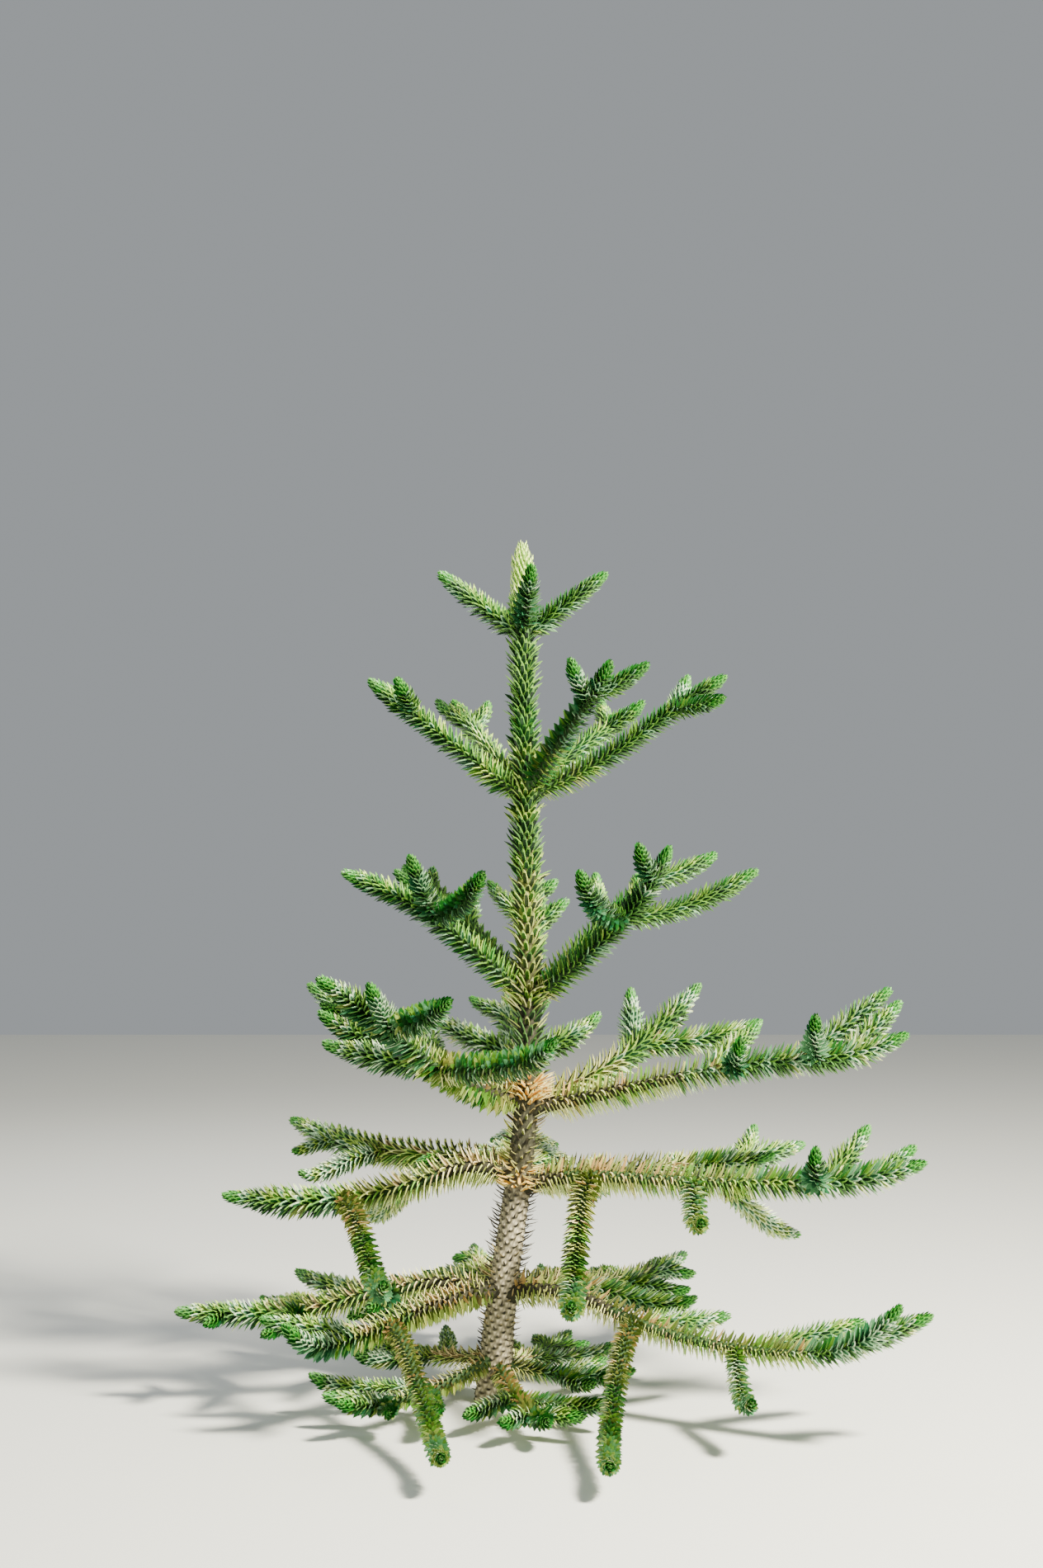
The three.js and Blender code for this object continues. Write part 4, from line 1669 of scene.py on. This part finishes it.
@dataclass
class Leader:
    """The leading shoot at the top of the trunk. Pairs are a tip leaf's and a lower one's."""

    trunk: TrunkForm
    shape: LeafShape
    wood: Pair = (4, 13)
    pitch: float = 1.1
    bud: float = 24
    end_gap: float = 2
    tip_length: float = 60
    root_lean: Pair = (44, 74)
    tip_lean: Pair = (-10, 0)
    lengths: Pair = (27, 44)
    width_share: float = 0.26
    green_from: float = 190
    sunk: float = 1
    stand_jitter: float = 0.06
    length_jitter: float = 0.05
    twist_jitter: float = 0.08
    seed: int = 5

    def line(self, step: float = 10) -> ShootLine:
        """Returns the shoot's line, from the trunk's top to the tree's top, in even steps."""
        low, high = self.trunk.top, self.trunk.tree_top
        heights = np.append(np.arange(low, high, step), high - self.end_gap)
        points = self.trunk.centre(heights)
        return ShootLine("leader", points, self.trunk.along(heights), np.zeros(len(points)), step)

    def build(self) -> None:
        """Makes the leading shoot's leaves."""
        rng = np.random.default_rng(self.seed)
        line = self.line()
        distances = np.arange(0, line.length - self.bud, self.pitch)
        count = len(distances)
        points, along, across, third = line.frames(distances)
        out = round_line(GOLDEN_TURN * np.arange(count), across, third)
        left = line.length - distances
        tip = smooth(left, self.bud, self.tip_length)
        lean_root, lean_tip = (
            np.radians(lerp(*ends, tip)) + rng.normal(0, self.stand_jitter, count)
            for ends in (self.root_lean, self.tip_lean)
        )
        wood = lerp(*self.wood, np.clip(left / (self.trunk.tree_top - self.trunk.top), 0, 1))
        length = lerp(*self.lengths, tip) * rng.normal(1, self.length_jitter, count)
        root = points + out * (wood - self.sunk)[:, None]
        draw = LeafDealer(rng, leaves_in_spray=12).draw(count)
        tint = LeafDealer.pick(draw, leader=0.88, pale=0.12)
        tint = np.where(left > self.green_from, LeafDealer.pick(draw, green=0.5, lime=0.5), tint)
        roll = rng.normal(0, self.twist_jitter, count)
        width = length * self.width_share
        leaves = LeafBatch(root, along, out, length, width, lean_root, lean_tip, roll, tint)
        self.shape.build("leader_leaves", leaves, "fresh_leaves", ["leading_shoot"])


@dataclass(frozen=True)
class StemKind:
    """How finely a kind of stem is meshed, how deep its relief is, and how far its end narrows."""

    sides: int
    row: float
    relief_depth: float
    end_share: float = 1.0


BOUGH = StemKind(14, 4, 1.6)
TWIG = StemKind(6, 12, 0.8, 0.2)


@dataclass
class Stems:
    """The wood of the arms: thick boughs with bark in relief, and slimmer leafy shoots."""

    arms: list[Arm]
    foliage: Foliage
    bark: BarkFinish
    skin: TwigFinish
    start: float = 6
    bough_end: float = 75
    twig_end: float = 12
    collar: float = 0.45
    collar_span: Pair = (30, 22)
    cushions: LeafCushions = LeafCushions(60)

    def tube(self, arm: Arm, line: ShootLine, start: float, end: float, kind: StemKind) -> tuple:
        """Makes the rings of a stem.

        Args:
            arm: The arm that it belongs to.
            line: Its line.
            start: Distance of its first ring.
            end: Distance of its last ring.
            kind: The kind of stem.
        Returns:
            The rings and their relief.
        """
        distances = np.linspace(start, end, max(int((end - start) / kind.row), 2))
        points, along, across, third = line.frames(distances)
        radius = self.foliage.wood(line, distances)
        if line is arm.line:
            near, fall = self.collar_span
            radius = radius * (1 + self.collar * np.exp(-np.maximum(distances - near, 0) / fall))
        radius[-1] *= kind.end_share
        angles = np.arange(kind.sides) * math.tau / kind.sides
        distance, angle = np.meshgrid(distances, angles, indexing="ij")
        wide = np.repeat(radius[:, None], kind.sides, 1)
        places = self.cushions.places(line.length, lambda at: self.foliage.wood(line, at))
        relief = self.cushions.relief(distance, angle, wide, places)
        raised = wide + (relief[..., 0] - 0.5) * kind.relief_depth
        out = round_line(angle, across[:, None], third[:, None])
        return points[:, None] + out * raised[..., None], relief

    def build(self) -> None:
        """Makes the boughs of each whorl and the leafy shoots of all."""
        twigs = []
        for w, whorl in enumerate(WHORLS):
            arms = arms_of(self.arms, w)
            boughs, slim = [], []
            for one in arms:
                start = self.start
                if whorl.bough:
                    forks = [s.share for s in one.shoots] if one.shoots else whorl.forks
                    end = min(forks) * one.length - self.bough_end
                    boughs.append(self.tube(one, one.line, start, end, BOUGH))
                    start = end
                for line in (one.line, *one.sides):
                    first = start if line is one.line else 0.0
                    slim.append(self.tube(one, line, first, line.length - self.twig_end, TWIG))
            if boughs:
                nodes = [f"bough_{one.label}" for one in arms]
                build_tubes(f"bough_wood_{w + 1}", boughs, self.bark, "bough", nodes)
            twigs.append((slim, [f"foliage_{one.label}" for one in arms]))
        for label, group in (("upper", twigs[:3]), ("lower", twigs[3:])):
            tubes = [tube for slim, _ in group for tube in slim]
            nodes = [node for _, names in group for node in names]
            build_tubes(f"twigs_{label}", tubes, self.skin, "bough", nodes)


# Studio


@dataclass(frozen=True)
class Lamp:
    """A soft square lamp that faces the crown."""

    name: str
    place: Place
    size: float
    watts: float
    colour: Colour
    target: Place = (0.05, 0.0, 1.0)

    def build(self) -> None:
        """Hangs the lamp."""
        data = bpy.data.lights.new(self.name, "AREA")
        data.shape = "SQUARE"
        data.size = self.size
        data.energy = self.watts
        data.color = linear(self.colour)[:3]
        lamp = add_object(self.name, data)
        lamp.location = self.place
        lamp.rotation_euler = (Vector(self.target) - Vector(self.place)).to_track_quat("-Z", "Y").to_euler()


@dataclass
class Studio:
    """A plain pale floor, soft light and the camera."""

    camera_place: Place = (0.077, -6.3, 1.6)
    camera_pitch: float = 1.59
    lens: float = 49.85
    sensor_width: float = 36
    floor_size: float = 24.0
    floor_height: float = -0.0005
    floor_colour: Colour = (222, 222, 216)
    sky_colour: Colour = (226, 232, 236)
    sky_strength: float = 0.44
    lamps: tuple[Lamp, ...] = (
        Lamp("key", (3.8, -3.0, 5.4), 1.0, 2300, (255, 250, 232)),
        Lamp("fill", (-3.4, -5.0, 2.4), 2.4, 100, (236, 244, 250)),
        Lamp("rim", (-1.5, 4.2, 4.6), 2.4, 120, (248, 252, 255)),
    )

    def floor(self) -> None:
        """Lays the floor, just under the ground line."""
        half = self.floor_size / 2
        mesh = bpy.data.meshes.new("floor")
        corners = [(x * half, y * half, self.floor_height) for x, y in ((-1, -1), (1, -1), (1, 1), (-1, 1))]
        mesh.from_pydata(corners, [], [(0, 1, 2, 3)])
        graph = ShaderGraph("pale_floor")
        mesh.materials.append(graph.finish({"Base Color": linear(self.floor_colour), "Roughness": 0.9}))
        floor = add_object("floor", mesh)
        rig.stage(floor)

    def sky(self) -> None:
        """Sets the even light from all round."""
        world = bpy.data.worlds.new("studio")
        world.use_nodes = True
        background = world.node_tree.nodes["Background"]
        background.inputs["Color"].default_value = linear(self.sky_colour)
        background.inputs["Strength"].default_value = self.sky_strength
        bpy.context.scene.world = world

    def camera(self) -> None:
        """Places the camera."""
        data = bpy.data.cameras.new("camera")
        data.lens = self.lens
        data.sensor_width = self.sensor_width
        camera = add_object("camera", data)
        camera.location = self.camera_place
        camera.rotation_euler = (math.radians(90 + self.camera_pitch), 0, 0)
        bpy.context.scene.camera = camera

    def build(self) -> None:
        """Sets up the studio."""
        self.floor()
        self.sky()
        for lamp in self.lamps:
            lamp.build()
        self.camera()


TRUNK_BARK = BarkFinish(
    name="trunk_bark",
    foot=(255, 238, 198),
    middle=(44, 48, 22),
    top=(170, 178, 64),
    # Painted shade for the furrows, also used for the stub marks.
    furrow=(30, 28, 14),
    stain=(78, 74, 48),
)
BOUGH_BARK = BarkFinish(
    name="bough_bark",
    foot=(88, 80, 38),
    middle=(84, 82, 36),
    top=(72, 84, 32),
    # Painted shade for the furrows, also used for the stub marks.
    furrow=(36, 34, 16),
    stain=(66, 60, 28),
)
TWIG_SKIN = TwigFinish(name="twig_skin", skin=(44, 76, 26), shade=(20, 40, 14))


def write_sizes() -> None:
    """Writes the box of the solids and of the dressed tree."""
    boxes = {"cad": CAD_BOX, "visual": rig.bounds()}
    plain = {name: [list(corner) for corner in box] for name, box in boxes.items()}
    with open(SIZE_FILE, "w") as file:
        json.dump(plain, file)
    LOG.info("sizes %s", plain)


def main() -> None:
    """Builds the tree and its studio."""
    logging.basicConfig(level=logging.INFO, format="%(name)s %(message)s")
    trunk = TrunkForm()
    arms = Crown(trunk).grow()
    sides = sum(len(one.sides) for one in arms)
    metres = sum(line.length for one in arms for line in (one.line, *one.sides)) * MM
    LOG.info("%d arms, %d side shoots, %.1f m of shoots", len(arms), sides, metres)
    bark = TrunkBark(trunk, TRUNK_BARK)
    bark.build()
    TrunkLeaves(trunk, bark).build()
    foliage = Foliage(arms, trunk)
    foliage.build()
    Leader(trunk, foliage.shape).build()
    Stems(arms, foliage, BOUGH_BARK, TWIG_SKIN).build()
    Studio().build()


if __name__ == "__main__":
    main()
    write_sizes()
